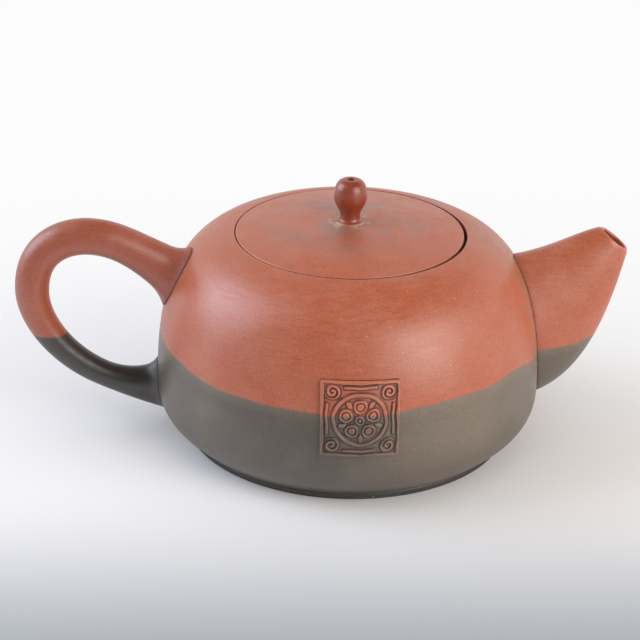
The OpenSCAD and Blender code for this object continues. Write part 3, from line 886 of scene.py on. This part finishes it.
class TEAPOT_OT_foot(bpy.types.Operator):
    """Base disc and the foot ring that the pot stands on"""

    bl_idname = "teapot.foot"
    bl_label = "Base and foot"

    # Rounding that use has given to the ring's lower edges.
    WORN = 0.55 * MM

    def execute(self, context):
        pot = context.scene.teapot_pot
        low, _ = pot_curves(pot)
        top = pot.foot_height + pot.base
        wall = parallel(low, np.linspace(0, 1, 25), pot.wall)
        wall = np.vstack((wall[wall[:, 1] < top], (np.interp(top, wall[:, 1], wall[:, 0]), top)))
        toe = (pot.foot_radius + pot.foot_step, pot.foot_height)
        under = line((0, pot.foot_height), (0.5 * pot.foot_radius, pot.foot_height), toe, steps=6)
        floor = line(wall[-1], (0.5 * pot.foot_radius, top), (0, top), steps=6)
        runs = (under, np.vstack((toe, wall)), floor)
        profile, near = joined(runs, (0, 0, 0), closed=False)
        inside = profile[:, 1] > pot.foot_height + pot.base / 2
        base = turned_piece("base", profile, near, sides=pot.sides, closed=False, inside=inside)
        settle(base, "pot", "base_clay", "slipped_zisha_matt", "base_disc")

        r, w, h = pot.foot_radius, pot.foot_width, pot.foot_height
        rounding = (self.WORN, 0, 0, self.WORN)
        profile, near = square_ring(r - w, r, 0, h, rounding, steps=3)
        ring = turned_piece("foot", profile, 0 * near, sides=pot.sides)
        settle(ring, "pot", "foot_clay", "rubbed_zisha_foot", "foot_ring")
        return {"FINISHED"}


class TEAPOT_OT_ledge(bpy.types.Operator):
    """Ledge ring under the mouth that carries the lid"""

    bl_idname = "teapot.ledge"
    bl_label = "Ledge"

    def execute(self, context):
        pot = context.scene.teapot_pot
        _, high = pot_curves(pot)
        inside = pot.mouth_radius - pot.ledge_width
        roof = parallel(high, np.linspace(0.6, 1, 60), pot.wall)
        roof = roof[(roof[:, 0] > pot.mouth_radius) & (roof[:, 0] < pot.ledge_reach)]
        outside = (pot.ledge_reach, roof[0, 1])
        seat = (pot.mouth_radius, pot.ledge_height)
        runs = (
            line((inside, pot.ledge_low), (pot.ledge_reach, pot.ledge_low), steps=3),
            line((pot.ledge_reach, pot.ledge_low), outside, steps=2),
            np.vstack((outside, roof, seat, (inside, pot.ledge_height))),
            line((inside, pot.ledge_height), (inside, pot.ledge_low), steps=3),
        )
        profile, near = joined(runs, (pot.edge, 0, pot.edge, pot.edge))
        ledge = turned_piece("ledge", profile, near, sides=pot.sides)
        settle(ledge, "pot", "inner_clay", "thrown_zisha_unburnished", "seat_ring")
        return {"FINISHED"}


class TEAPOT_OT_spout(bpy.types.Operator):
    """Hollow beak spout with a tooled crease where it leaves the body"""

    bl_idname = "teapot.spout"
    bl_label = "Spout"

    # Pulls of the upper line at the body and at the lip, then of the lower line, each along the
    # spout and up; how the width narrows along it; and where the search for the body's face
    # begins.
    PULLS = np.array(((1.1, 1.5), (6.5, 0.7), (14.3, 3.8), (4.5, 21.7))) * MM
    TAPER, SEARCH_FROM = 0.95, 0.02
    # Rise of the rolled lip as a share of its wall, how far inside the wall the lining begins
    # and how near to the lip it ends, and the rows of each part.
    LIP_RISE, LINING_FROM, LINING_TO = 0.45, 0.01, 0.985
    SKIN_ROWS, LIP_ROWS, LINING_ROWS = 70, 9, 34

    def lines(self, pot, spout, at, depth=0.0, out=0.0):
        """Section at share s: centre (u + l)/2 between the upper line u(s) and the lower line
        l(s), half height (u - l)/2 and half width w(s), both less the depth; the point at angle a
        is (cx + hx cos a, -w sin a, cz + hz cos a), moved by out across the cut mouth."""
        a = np.arange(spout.sides) * 2 * np.pi / spout.sides
        lip = np.array((spout.lip_x, spout.lip_z))
        high_lip = lip + spout.lip_length / 2 * towards(math.pi - spout.lip_slope)
        low_lip = lip + spout.lip_length / 2 * towards(-spout.lip_slope)
        bridge, nose, chin, throat = self.PULLS
        top = np.array((pot.belly_radius, spout.root_high))
        under = np.array((pot.belly_radius, spout.root_low))
        high = (top - (spout.bury_high, 0), top + bridge, high_lip - nose, high_lip)
        low = (under - (spout.bury_low, 0), under + chin, low_lip - throat, low_lip)
        at = np.broadcast_to(at, (len(at), spout.sides))
        u, l = bezier(high, at), bezier(low, at)
        full = np.linalg.norm(u - l, axis=-1)
        centre = (u + l) / 2
        half = (u - l) / 2 * (1 - 2 * depth / full)[..., None]
        narrows = (spout.lip_width - spout.root_width) / 2 * at**self.TAPER
        wide = spout.root_width / 2 + narrows - depth
        across = towards(math.pi / 2 - spout.lip_slope)
        x = centre[..., 0] + half[..., 0] * np.cos(a) + out * across[0]
        z = centre[..., 1] + half[..., 1] * np.cos(a) + out * across[1]
        return np.stack((x, -wide * np.sin(a), z), -1)

    def execute(self, context):
        scene = context.scene
        pot, spout, joint = scene.teapot_pot, scene.teapot_spout, scene.teapot_joint
        rim = self.LIP_RISE * spout.wall_lip

        def outside(at, depth=0.0):
            return self.lines(pot, spout, at, depth)

        def inside(at):
            along = np.broadcast_to(at, (len(at), spout.sides))
            depth = spout.wall_root + (spout.wall_lip - spout.wall_root) * along
            return self.lines(pot, spout, at, depth)

        start = leaves_pot(pot, outside, self.SEARCH_FROM, 1)
        root = outside(start[None])
        reach = np.linalg.norm(outside(np.ones((1, 1))) - root, axis=-1)
        even = np.linspace(0, 1, self.SKIN_ROWS)[1:, None]
        run = reach - ROOT_STEPS[-1] - 2 * rim
        distance = np.concatenate((ROOT_STEPS[:, None] + 0 * reach, ROOT_STEPS[-1] + run * even))
        at = start + (1 - start) * distance / reach
        away = np.linalg.norm(outside(at) - root, axis=-1)
        groove = joint.depth * bell(away, joint.width)
        skin = outside(at, groove)

        bend = np.linspace(0, np.pi, self.LIP_ROWS)[:, None]
        depth = spout.wall_lip / 2 * (1 - np.cos(bend))
        lip = self.lines(pot, spout, np.ones_like(bend), depth, rim * (np.sin(bend) - 1))

        inner_start = leaves_pot(pot, inside, self.SEARCH_FROM, 1) - self.LINING_FROM
        back = np.linspace(1, 0, self.LINING_ROWS)[1:, None]
        lining = inside(inner_start + (1 - inner_start) * back * self.LINING_TO)

        grid = np.concatenate((skin, lip, lining))
        crease = np.zeros(grid.shape[:2])
        # The tooled line's stain: residue and painted shade.
        crease[: len(skin)] = crease_residue_and_shade(away, joint)
        edge = np.zeros(grid.shape[:2])
        edge[len(skin) + 1 : len(skin) + self.LIP_ROWS - 1] = 1
        shell = surface("spout_shell", grid, wrap_rows=True, marks={"crease": crease, "edge": edge})
        settle(shell, "pot", "spout_clay", "burnished_zisha_spout_dipped_in_slip", "spout")
        return {"FINISHED"}


class TEAPOT_OT_strainer(bpy.types.Operator):
    """Finish of the pierced dome behind the spout"""

    bl_idname = "teapot.strainer"
    bl_label = "Strainer"

    def execute(self, context):
        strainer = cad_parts["strainer"]
        strainer.data.materials.clear()
        strainer.data.materials.append(finish("thrown_zisha_unburnished"))
        return {"FINISHED"}


class TEAPOT_OT_handle(bpy.types.Operator):
    """Ring handle, one tapered coil with spread roots and tooled creases"""

    bl_idname = "teapot.handle"
    bl_label = "Handle"

    # Shares at which the centre line's three curves meet, and how much of the last one is drawn.
    JOINS, LAST = (0, 0.29, 0.46, 1), 0.86
    # Slopes of the roots in degrees, the crown's place as a share of the reach, and the lengths
    # by which the centre line runs on straight from each of its ends and joins.
    ROOT_SLOPE, TAIL_SLOPE, CROWN_SHARE = 28.5, -24.5, 0.56
    ROOT_RUN, CROWN_BEFORE, CROWN_AFTER = 21.6 * MM, 11.4 * MM, 5.9 * MM
    BACK_ABOVE, BACK_BELOW, TAIL_RUN = 14.3 * MM, 15.8 * MM, 35.9 * MM
    # Where the coil begins to taper and over what share; how much of a root's spread goes
    # sideways; and how far the upper root leans down.
    TAPER_FROM, TAPER_SHARE, SIDEWAYS, LEAN = 0.3, 0.5, 0.3, 0.25
    # How far from each end the search for the pot's face goes. Near a root the rows keep that
    # root's pace and between them an even one, and the paces hand over from these shares.
    SEARCH_FIRST, SEARCH_LAST = 0.4, 0.6
    HAND_OVER, HAND_BACK, HAND_SHARE = 0.03, 0.77, 0.2
    ROWS, PATH_STEPS = 168, 399

    def centre_curves(self, pot, handle):
        """Three cubic curves in the plane of the spout, measured away from the axis: upper root
        to crown, crown to the outermost point, and from there to the lower root."""
        r = pot.belly_radius
        crown = np.array((r + self.CROWN_SHARE * handle.reach, handle.top))
        back = np.array((r + handle.reach, handle.out))
        high = np.array((r - handle.bury_high, handle.root_high))
        tail = np.array((r - handle.bury_low, handle.root_low))
        rising = self.ROOT_RUN * towards(math.radians(self.ROOT_SLOPE))
        falling = self.TAIL_RUN * towards(math.radians(self.TAIL_SLOPE))
        return (
            (high, high + rising, crown - (self.CROWN_BEFORE, 0), crown),
            (crown, crown + (self.CROWN_AFTER, 0), back + (0, self.BACK_ABOVE), back),
            (back, back - (0, self.BACK_BELOW), tail + falling, tail),
        )

    def lines(self, pot, handle, at, depth=0.0):
        """Round sections across the centre line: the point at angle a is the centre plus tall
        times cos a along the normal, and wide times sin a sideways. Both radii taper along the
        coil, spread toward the roots with (1 - distance/length)^2, and take the corner's clay,
        which fades with (1 - gap/blend)^3 of each point's gap to the pot."""
        a = np.arange(handle.sides) * 2 * np.pi / handle.sides
        at = np.broadcast_to(at, (len(at), handle.sides))
        curves = self.centre_curves(pot, handle)
        centre, run = np.zeros((*at.shape, 2)), np.zeros((*at.shape, 2))
        for k, curve in enumerate(curves):
            t = (at - self.JOINS[k]) / (self.JOINS[k + 1] - self.JOINS[k])
            here = ((at >= self.JOINS[k]) & ((at < self.JOINS[k + 1]) | (k == 2)))[..., None]
            centre = np.where(here, bezier(curve, t), centre)
            run = np.where(here, heading(curve, t), run)
        normal = np.stack((-run[..., 1], run[..., 0]), -1) / np.linalg.norm(run, axis=-1)[..., None]

        def spread(root, size, run):
            return size * np.maximum(0, 1 - np.linalg.norm(centre - root, axis=-1) / run) ** 2

        high = spread(curves[0][0], handle.flare_high, handle.run_high)
        low = spread(curves[2][3], handle.flare_low, handle.run_low)
        taper = ease((at - self.TAPER_FROM) / self.TAPER_SHARE)
        coil = handle.thick + (handle.thin - handle.thick) * taper
        centre = centre - self.LEAN * high[..., None] * normal
        tall, wide = coil + high + low, coil + self.SIDEWAYS * (high + low)

        def around(extra):
            x = -(centre[..., 0] + (tall + extra) * normal[..., 0] * np.cos(a))
            z = centre[..., 1] + (tall + extra) * normal[..., 1] * np.cos(a)
            return np.stack((x, -(wide + extra) * np.sin(a), z), -1)

        plain = around(0)
        gap = np.hypot(plain[..., 0], plain[..., 1]) - pot_radius(pot, plain[..., 2])
        lower = at >= self.JOINS[2]
        size = np.where(lower, handle.fillet_low, handle.fillet_high)
        blend = np.where(lower, handle.blend_low, handle.blend_high)
        return around(size * (1 - np.clip(gap / blend, 0, 1)) ** 3 - depth)

    def execute(self, context):
        scene = context.scene
        pot, handle, joint = scene.teapot_pot, scene.teapot_handle, scene.teapot_joint

        def outside(at, depth=0.0):
            return self.lines(pot, handle, at, depth)

        end = self.JOINS[2] + self.LAST * (1 - self.JOINS[2])
        first = leaves_pot(pot, outside, 0, self.SEARCH_FIRST)
        last = leaves_pot(pot, outside, end, self.SEARCH_LAST)
        roots = outside(first[None]), outside(last[None])
        ride = np.linspace(0, 1, self.PATH_STEPS + 1)[:, None]
        steps = np.linalg.norm(np.diff(outside(first + (last - first) * ride), axis=0), axis=-1)
        whole = steps.sum(0)
        even = np.linspace(0, 1, self.ROWS + 2)[1:-1, None]
        start = ROOT_STEPS[:, None] + 0 * whole
        middle = ROOT_STEPS[-1] + (whole - 2 * ROOT_STEPS[-1]) * even
        distance = np.concatenate((start, middle, whole - start[::-1]))
        part = distance / whole
        near_first = distance / (steps[0] * self.PATH_STEPS)
        near_last = 1 - (whole - distance) / (steps[-1] * self.PATH_STEPS)
        w, v = (ease((part - here) / self.HAND_SHARE) for here in (self.HAND_OVER, self.HAND_BACK))
        ride = (1 - w) * near_first + w * (1 - v) * part + v * near_last
        at = np.clip(first + (last - first) * ride, 0, end)
        away = np.min([np.linalg.norm(outside(at) - root, axis=-1) for root in roots], axis=0)
        grid = outside(at, joint.depth * bell(away, joint.width))
        caps = [np.broadcast_to(grid[k].mean(0), grid[k].shape)[None] for k in (0, -1)]
        grid = np.concatenate((caps[0], grid, caps[1]))
        crease = np.zeros(grid.shape[:2])
        # The tooled line's stain: residue and painted shade.
        crease[1:-1] = crease_residue_and_shade(away, joint)
        ring = surface("handle_ring", grid, marks={"crease": crease})
        settle(ring, "pot", "handle_clay", "burnished_zisha_limb_dipped_in_slip", "handle")
        return {"FINISHED"}


class TEAPOT_OT_plaque(bpy.types.Operator):
    """Square pressed plaque: frame, round medallion with a five-petalled blossom, and a cloud
    curl in each corner"""

    bl_idname = "teapot.plaque"
    bl_label = "Plaque"

    # The plaque's rounded edge, how deep its rim is sunk in the wall, and how far its back lies
    # within the belly's radius.
    ROUND_EDGE, SUNK, BACK = 0.3 * MM, 0.4 * MM, 2.4 * MM
    # Waves of the hand's waver sideways and upward: share of the waver, length and shift.
    SIDE_WAVES = ((1, 1.9 * MM, 1), (0.5, 0.8 * MM, 0))
    HEIGHT_WAVES = ((1, 2.3 * MM, 2), (0.5, 0.9 * MM, 1))
    # Shares: places of the leaves and of the inner lines, how deep those are, the leaf's
    # stretch and taper, and how much a petal widens outward in a millimetre.
    PETALS, LEAF_PLACE, HEART_LINE, PETAL_LINE, LINE_DEPTH = 5, 1.4, 0.5, 0.6, 0.9
    LEAF_STRETCH, LEAF_TAPER, PETAL_WIDENS = 0.5, 0.14, 0.1
    # Flanks and inner lines of the ridges, the hand's waver, and the sizes of the small motifs.
    # Bars and curls are placed inward from the frame.
    SOFT, GROOVE, WAVER, LEAF = 0.16 * MM, 0.2 * MM, 0.13 * MM, 0.62 * MM
    BAR_INSET, BAR_HALF, BAR_REACH = 0.95 * MM, 0.36 * MM, 4.6 * MM
    CURL_INSET, CURL_PITCH, CURL_HALF, CURL_REACH = 2.35 * MM, 1.25 * MM, 0.36 * MM, 2.15 * MM

    def ridge(self, distance, half, soft=SOFT):
        """1 within half of a line and 0 beyond it, with a smooth flank."""
        return 1 - ease((np.abs(distance) - half + soft) / (2 * soft))

    def motif(self, x, z, plaque):
        """Relief between 0 and 1 as the highest of its ridges, each a band about a line: circles
        |p - c| = r, bars |z| = h and curls whose radius grows evenly with the angle. The hand
        that cut it wavered, which two sine waves along each axis stand for."""
        for size, wave, shift in self.SIDE_WAVES:
            x = x + size * self.WAVER * np.sin(z / wave + shift)
        for size, wave, shift in self.HEIGHT_WAVES:
            z = z + size * self.WAVER * np.sin(x / wave + shift)
        away = np.hypot(x, z)
        side = np.maximum(np.abs(x), np.abs(z))
        other = np.minimum(np.abs(x), np.abs(z))
        rim = plaque.medallion_rim / 2
        frame_line = plaque.half - plaque.border
        bar = self.ridge(side - frame_line + self.BAR_INSET, self.BAR_HALF)
        heart_line = self.ridge(away - self.HEART_LINE * plaque.heart, self.GROOVE)
        parts = [
            self.ridge(away - plaque.medallion + rim, rim),
            ease((side - frame_line) / (0.3 * MM) + 0.5),
            bar * self.ridge(other, self.BAR_REACH, 0.3 * MM),
            self.ridge(away, plaque.heart) * (1 - heart_line),
        ]
        for k in range(2 * self.PETALS):
            lean = np.pi * k / self.PETALS
            place = plaque.petal_place * (self.LEAF_PLACE if k % 2 else 1)
            u = x * math.cos(lean) - z * math.sin(lean)
            v = x * math.sin(lean) + z * math.cos(lean) - place
            if k % 2:
                leaf = np.hypot(u, self.LEAF_STRETCH * v) + self.LEAF_TAPER * np.maximum(v, 0)
                parts.append(self.ridge(leaf, self.LEAF))
            else:
                petal = np.hypot(u * (1 - self.PETAL_WIDENS * v / MM), v)
                inner_line = self.ridge(petal - self.PETAL_LINE * plaque.petal, self.GROOVE)
                parts.append(self.ridge(petal, plaque.petal) * (1 - self.LINE_DEPTH * inner_line))
        corner = frame_line - self.CURL_INSET
        cx, cz = np.abs(x) - corner, np.abs(z) - corner
        arm, swing = np.hypot(cx, cz), np.arctan2(cz, cx) / (2 * np.pi)
        lap = (arm / self.CURL_PITCH - swing + 0.5) % 1 - 0.5
        curl = self.ridge(lap * self.CURL_PITCH, self.CURL_HALF)
        parts.append(curl * self.ridge(arm, self.CURL_REACH, 0.2 * MM))
        return np.max(parts, axis=0)

    def execute(self, context):
        pot, plaque = context.scene.teapot_pot, context.scene.teapot_plaque
        half, round_edge = plaque.half, self.ROUND_EDGE
        inner = np.linspace(-half + round_edge, half - round_edge, plaque.points)
        corner = round_edge * (1 - np.cos(np.linspace(0, np.pi / 2, 6)))[:-1]
        places = np.concatenate(([-half], -half + corner, inner, (half - corner)[::-1], [half]))
        x, z = np.meshgrid(places, places)
        to_edge = half - np.maximum(np.abs(x), np.abs(z))
        drop = np.sqrt(np.clip(1 - (1 - np.minimum(to_edge / round_edge, 1)) ** 2, 0, 1))
        relief = self.motif(x, z, plaque)
        height = (plaque.ground + plaque.relief * relief) * drop
        height[[0, -1]] = height[:, [0, -1]] = -self.SUNK
        x, z = self.round_corners(x, z, plaque)
        level = plaque.height + z
        outline = outer_line(pot, low_steps=200, high_steps=800)
        run = np.gradient(outline, axis=0)
        upright = run[:, 1] / np.linalg.norm(run, axis=1)
        facing = np.interp(level, outline[:, 1], upright)
        radius = pot_radius(pot, level) + height / facing
        grid = np.stack((x, -np.sqrt(radius**2 - x**2), level), -1)

        # Grooves are low ground with a ridge within 5 grid steps, and the plaque's foot at the wall
        # is darkened with them, a painted shade. Rubbed ridges are high ground with a groove within
        # 4, and the rubbed edge is a line just inside the rim; both are partly wear to the red clay
        # and partly a painted highlight.
        hollow = ease((0.5 - relief) / 0.3) * ease((self.nearby(relief, 5) - 0.45) / 0.3)
        hollow[to_edge < 0.05 * MM] = 1
        raised = ease((relief - 0.7) / 0.25) * ease((self.nearby(1 - relief, 4) - 0.5) / 0.4)
        rubbed_and_lit_edge = ease(1.3 - np.abs(to_edge - 0.2 * MM) / (0.18 * MM))
        raised = np.maximum(raised, rubbed_and_lit_edge)
        marks = {"raised": np.append(raised, 0), "hollow": np.append(hollow, 0)}
        last = len(places) ** 2
        index = np.arange(last).reshape(len(places), -1)
        loop = np.concatenate((index[0, :-1], index[:-1, -1], index[-1, :0:-1], index[:0:-1, 0]))
        behind = np.array((0, -pot.belly_radius + self.BACK, plaque.height))
        fan = [(int(b), int(a), last) for a, b in zip(loop, np.roll(loop, -1))]
        points = np.vstack((grid.reshape(-1, 3), behind))
        piece = shape("plaque_relief", points, quads(index) + fan, marks)
        settle(piece, "pot", "plaque_clay", "pressed_zisha_dipped_and_rubbed", "plaque")
        return {"FINISHED"}

    def round_corners(self, x, z, plaque):
        """Bends each corner's square (u, v) of 0 to 1 into a quarter disc: u sqrt(1 - v^2/2) and
        v sqrt(1 - u^2/2)."""
        start = plaque.half - plaque.rounding
        u = np.clip((np.abs(x) - start) / plaque.rounding, 0, 1)
        v = np.clip((np.abs(z) - start) / plaque.rounding, 0, 1)
        both = (u > 0) & (v > 0)
        bent_x = np.sign(x) * (start + plaque.rounding * u * np.sqrt(1 - v * v / 2))
        bent_z = np.sign(z) * (start + plaque.rounding * v * np.sqrt(1 - u * u / 2))
        return np.where(both, bent_x, x), np.where(both, bent_z, z)

    def nearby(self, values, reach):
        """Greatest value within reach grid steps along both axes."""
        found = values.copy()
        for axis in (0, 1):
            moved = [np.roll(found, k, axis=axis) for k in range(-reach, reach + 1)]
            found = np.max(moved, axis=0)
        return found


def dome_height(lid, pot, radius):
    """Sphere cap of the given rise over the lid's radius, sitting on the mouth's height."""
    sphere = (lid.radius**2 + lid.rise**2) / (2 * lid.rise)
    return pot.mouth_height + lid.rise - sphere + np.sqrt(sphere**2 - np.asarray(radius) ** 2)


def dome_line(lid, pot, start, stop, depth=0.0, steps=40):
    """Run along the dome between two radii, lowered by depth."""
    r = np.linspace(start, stop, steps + 1)
    return np.stack((r, dome_height(lid, pot, r) - depth), -1)


class TEAPOT_OT_lid(bpy.types.Operator):
    """Domed lid, flush with the mouth, and the flange under it"""

    bl_idname = "teapot.lid"
    bl_label = "Lid"

    # Rounding of the flange's lower edges.
    FLANGE_EDGE = 0.8 * MM

    def execute(self, context):
        pot, lid = context.scene.teapot_pot, context.scene.teapot_lid
        under = lid_low.z
        throat = lid.flange_radius - lid.flange_wall
        belly = dome_line(lid, pot, lid.vent, throat, lid.thickness, 20)
        crown = dome_line(lid, pot, lid.radius, lid.vent)
        runs = (
            np.vstack((belly, (throat, under))),
            line((throat, under), (lid.radius, under), steps=4),
            line((lid.radius, under), crown[0], steps=4),
            crown,
            line(crown[-1], belly[0], steps=3),
        )
        profile, near = joined(runs, (0, lid.edge, lid.edge, 0, 0))
        near[profile[:, 1] < pot.mouth_height - lid.edge] = 0
        # The walls in the gap round the lid get painted shade.
        gap_shaded = gap_painted_shade(profile, lid.radius, pot)
        dome = turned_piece("lid_dome", profile, near, LID_CENTRE, pot.sides, crease=gap_shaded)
        settle(dome, "lid", "lid_clay", "burnished_zisha_dusty", "lid_disc")

        rounding = (self.FLANGE_EDGE, 0, 0, self.FLANGE_EDGE)
        heights = (flange_low.z, under)
        profile, near = square_ring(throat, lid.flange_radius, *heights, rounding)
        flange = turned_piece("flange", profile, near, LID_CENTRE, pot.sides)
        settle(flange, "lid", "lid_flange_clay", "thrown_zisha_unburnished", "lid_flange")
        return {"FINISHED"}


class TEAPOT_OT_knob(bpy.types.Operator):
    """Bead knob with its air hole, on a thin collar"""

    bl_idname = "teapot.knob"
    bl_label = "Knob"

    # Heights of the bead's widest and narrowest lines and the pulls at both, as shares of the
    # knob's height.
    WIDE, NECK, WIDE_PULL, NECK_PULL = 0.61, 0.11, 0.24, 0.19
    # How far the collar is sunk in the lid, the roundings of its rim and of the air hole, the
    # width of the flat round the hole, the first three points of the curve from the collar to
    # the neck, and the points round each piece.
    SUNK, COLLAR_EDGE, HOLE_EDGE, HOLE_FLAT = 0.3 * MM, 0.25 * MM, 0.4 * MM, 0.5 * MM
    SKIRT, SIDES = np.array(((0.9, 0), (0.3, 0.15), (0, 0.6))) * MM, 128

    def execute(self, context):
        lid = context.scene.teapot_lid
        seat, top = knob_low.z, knob_high.z
        sunk = collar_low.z - self.SUNK
        rounding = (0, self.COLLAR_EDGE, 0, 0)
        profile, near = square_ring(lid.vent, lid.collar_radius, sunk, seat, rounding)
        collar = turned_piece("knob_seat", profile, 0 * near, LID_CENTRE, self.SIDES)
        settle(collar, "lid", "knob_clay", "burnished_zisha_dusty", "knob_collar")

        tall = top - seat
        r, n, vent = lid.knob_radius, lid.neck_radius, lid.vent
        wide_z, neck_z = seat + self.WIDE * tall, seat + self.NECK * tall
        up, round_up = self.NECK_PULL * tall, self.WIDE_PULL * tall
        rise = ((n, neck_z), (n, neck_z + up), (r, wide_z - round_up), (r, wide_z))
        flat = (vent + self.HOLE_FLAT, top)
        cap = ((r, wide_z), (r, wide_z + round_up), (0.8 * r, top), flat)
        at = np.linspace(0, 1, 30)
        bead = np.concatenate((bezier(rise, at), bezier(cap, at)[1:]))
        foot = (*(self.SKIRT + (n, seat)), (n, neck_z))
        fillet = bezier(foot, np.linspace(0, 1, 10))
        runs = (
            np.concatenate((fillet[:-1], bead)),
            line(bead[-1], (vent, top), steps=3),
            line((vent, top), (vent, seat), steps=10),
            line((vent, seat), fillet[0], steps=3),
        )
        profile, near = joined(runs, (0, self.HOLE_EDGE, 0, 0))
        # The air hole's wall takes the crease colour: painted shade inside the hole.
        bored = np.abs(profile[:, 0] - vent) < 0.05 * MM
        knob = turned_piece("knob_bead", profile, 0 * near, LID_CENTRE, self.SIDES, crease=bored)
        settle(knob, "lid", "knob_clay", "rubbed_zisha_knob", "knob")
        return {"FINISHED"}


class TEAPOT_OT_stage(bpy.types.Operator):
    """Pale paper floor, two soft boxes, a white room and the camera"""

    bl_idname = "teapot.stage"
    bl_label = "Stage"

    # Azimuth from the front toward the spout and height, in degrees, then distance and side, in
    # metres. Both point at a place at that height above the floor.
    SOFT_BOXES = {"right": (46, 22, 1.0, 0.74), "left": (-98, 30, 1.0, 0.8)}
    AIM_HEIGHT = 0.03
    # Rings of the floor, which lies a hair under the foot, and the points on each.
    FLOOR_RADII, FLOOR_DROP, FLOOR_SIDES = (1.6, 0.8, 0.4, 0.2, 0.1, 0), 0.02 * MM, 96

    def execute(self, context):
        stage = context.scene.teapot_stage
        self.floor(stage)
        for side, place in self.SOFT_BOXES.items():
            watts, light = getattr(stage, side + "_power"), getattr(stage, side + "_light")
            self.lamp(side + "_soft_box", *place, watts, light)
        self.room(context.scene, stage)
        self.camera(context.scene, stage)
        context.scene.view_settings.view_transform = "Standard"
        return {"FINISHED"}

    def floor(self, stage):
        """Flat disc of paper: (r cos a, r sin a, 0)."""
        a = -np.arange(self.FLOOR_SIDES) * 2 * np.pi / self.FLOOR_SIDES
        r = np.array(self.FLOOR_RADII)[:, None]
        z = np.full((len(r), len(a)), -self.FLOOR_DROP)
        floor = surface("paper_floor", np.stack((r * np.cos(a), r * np.sin(a), z), -1)[::-1])
        floor.data.materials.append(paper_sweep(stage))

    def lamp(self, name, around, above, distance, size, watts, light):
        """Square soft box on a sphere round the aim, facing it: its place from there is distance
        times (sin a cos e, -cos a cos e, sin e) at azimuth a and elevation e."""
        around, above = math.radians(around), math.radians(above)
        back = np.array(
            (math.sin(around) * math.cos(above), -math.cos(around) * math.cos(above), math.sin(above))
        )
        lamp = bpy.data.lights.new(name, "AREA")
        lamp.energy, lamp.size, lamp.color = watts, size, light
        holder = bpy.data.objects.new(name, lamp)
        across = np.cross((0, 0, 1), back)
        across /= np.linalg.norm(across)
        turn = Matrix(np.stack((across, np.cross(back, across), back), -1).tolist()).to_4x4()
        turn.translation = distance * back + (0, 0, self.AIM_HEIGHT)
        holder.matrix_world = turn
        holder.visible_camera = False
        bpy.context.scene.collection.objects.link(holder)

    def room(self, scene, stage):
        """White backdrop behind, a dim room before the pot and a dim ceiling. The camera and the
        gloss see it whole, and its diffuse light is even."""
        world = bpy.data.worlds.new("white_room")
        tree = cleared(world)
        toward = add(tree, "TexCoord", out="Generated")
        _, back, up = add(tree, "SeparateXYZ", toward, out=None)
        wall = add(tree, "MapRange", back, *BACKDROP_FADE, **SMOOTH)
        ceiling = add(tree, "MapRange", up, *CEILING_FADE, **SMOOTH)
        profile = add(tree, "Math", wall, ceiling, **TIMES)
        camera = add(tree, "LightPath", out="Is Camera Ray")
        profile = add(tree, "Math", profile, camera, **GREATEST)
        inputs = {0: seen_directly(tree), 2: stage.ambient, 3: profile}
        strength = add(tree, "Mix", inputs, data_type="FLOAT")
        light = add(tree, "Background", {"Color": stage.backdrop, "Strength": strength})
        add(tree, "OutputWorld", {"Surface": light}, out=None)
        scene.world = world

    def camera(self, scene, stage):
        """The view axis tips down by the pitch, after a turn by the yaw and before the roll; the
        origin lies across, below and distance along it."""
        turns = ((stage.yaw, "Z"), (stage.pitch + math.pi / 2, "X"), (stage.roll, "Z"))
        yaw, tip, roll = (Matrix.Rotation(turn, 3, axis) for turn, axis in turns)
        axes = (roll @ tip @ yaw).transposed()
        turn = (axes @ Matrix.Diagonal((1, -1, -1))).to_4x4()
        turn.translation = -(axes @ Vector((stage.across, stage.below, stage.distance)))
        camera = bpy.data.cameras.new("camera")
        camera.lens, camera.sensor_width = stage.lens, 36
        camera.clip_start, camera.clip_end = 0.01, 20
        holder = bpy.data.objects.new("camera", camera)
        holder.matrix_world = turn
        scene.collection.objects.link(holder)
        scene.camera = holder


# ---------------------------------------------------------------- add-on


GROUPS = {
    "teapot_pot": PotSizes,
    "teapot_spout": SpoutSizes,
    "teapot_handle": HandleSizes,
    "teapot_joint": JointSizes,
    "teapot_lid": LidSizes,
    "teapot_plaque": PlaqueSizes,
    "teapot_clay": ClayColours,
    "teapot_stage": StageLooks,
}
OPERATORS = (
    TEAPOT_OT_pot,
    TEAPOT_OT_foot,
    TEAPOT_OT_ledge,
    TEAPOT_OT_spout,
    TEAPOT_OT_strainer,
    TEAPOT_OT_handle,
    TEAPOT_OT_plaque,
    TEAPOT_OT_lid,
    TEAPOT_OT_knob,
    TEAPOT_OT_stage,
)


class VIEW3D_PT_teapot(bpy.types.Panel):
    """Lists the teapot's pieces"""

    bl_label = "Teapot"
    bl_space_type = "VIEW_3D"
    bl_region_type = "UI"
    bl_category = "Teapot"

    def draw(self, context):
        column = self.layout.column()
        for operator in OPERATORS:
            column.operator(operator.bl_idname, text=operator.bl_label)


def register():
    for kind in (*GROUPS.values(), *OPERATORS, VIEW3D_PT_teapot):
        bpy.utils.register_class(kind)
    for name, group in GROUPS.items():
        setattr(bpy.types.Scene, name, PointerProperty(type=group))


def unregister():
    for name in GROUPS:
        delattr(bpy.types.Scene, name)
    for kind in (VIEW3D_PT_teapot, *reversed(OPERATORS), *reversed(GROUPS.values())):
        bpy.utils.unregister_class(kind)


def main():
    register()
    for operator in OPERATORS:
        group, name = operator.bl_idname.split(".")
        getattr(getattr(bpy.ops, group), name)()


if __name__ == "__main__":
    main()
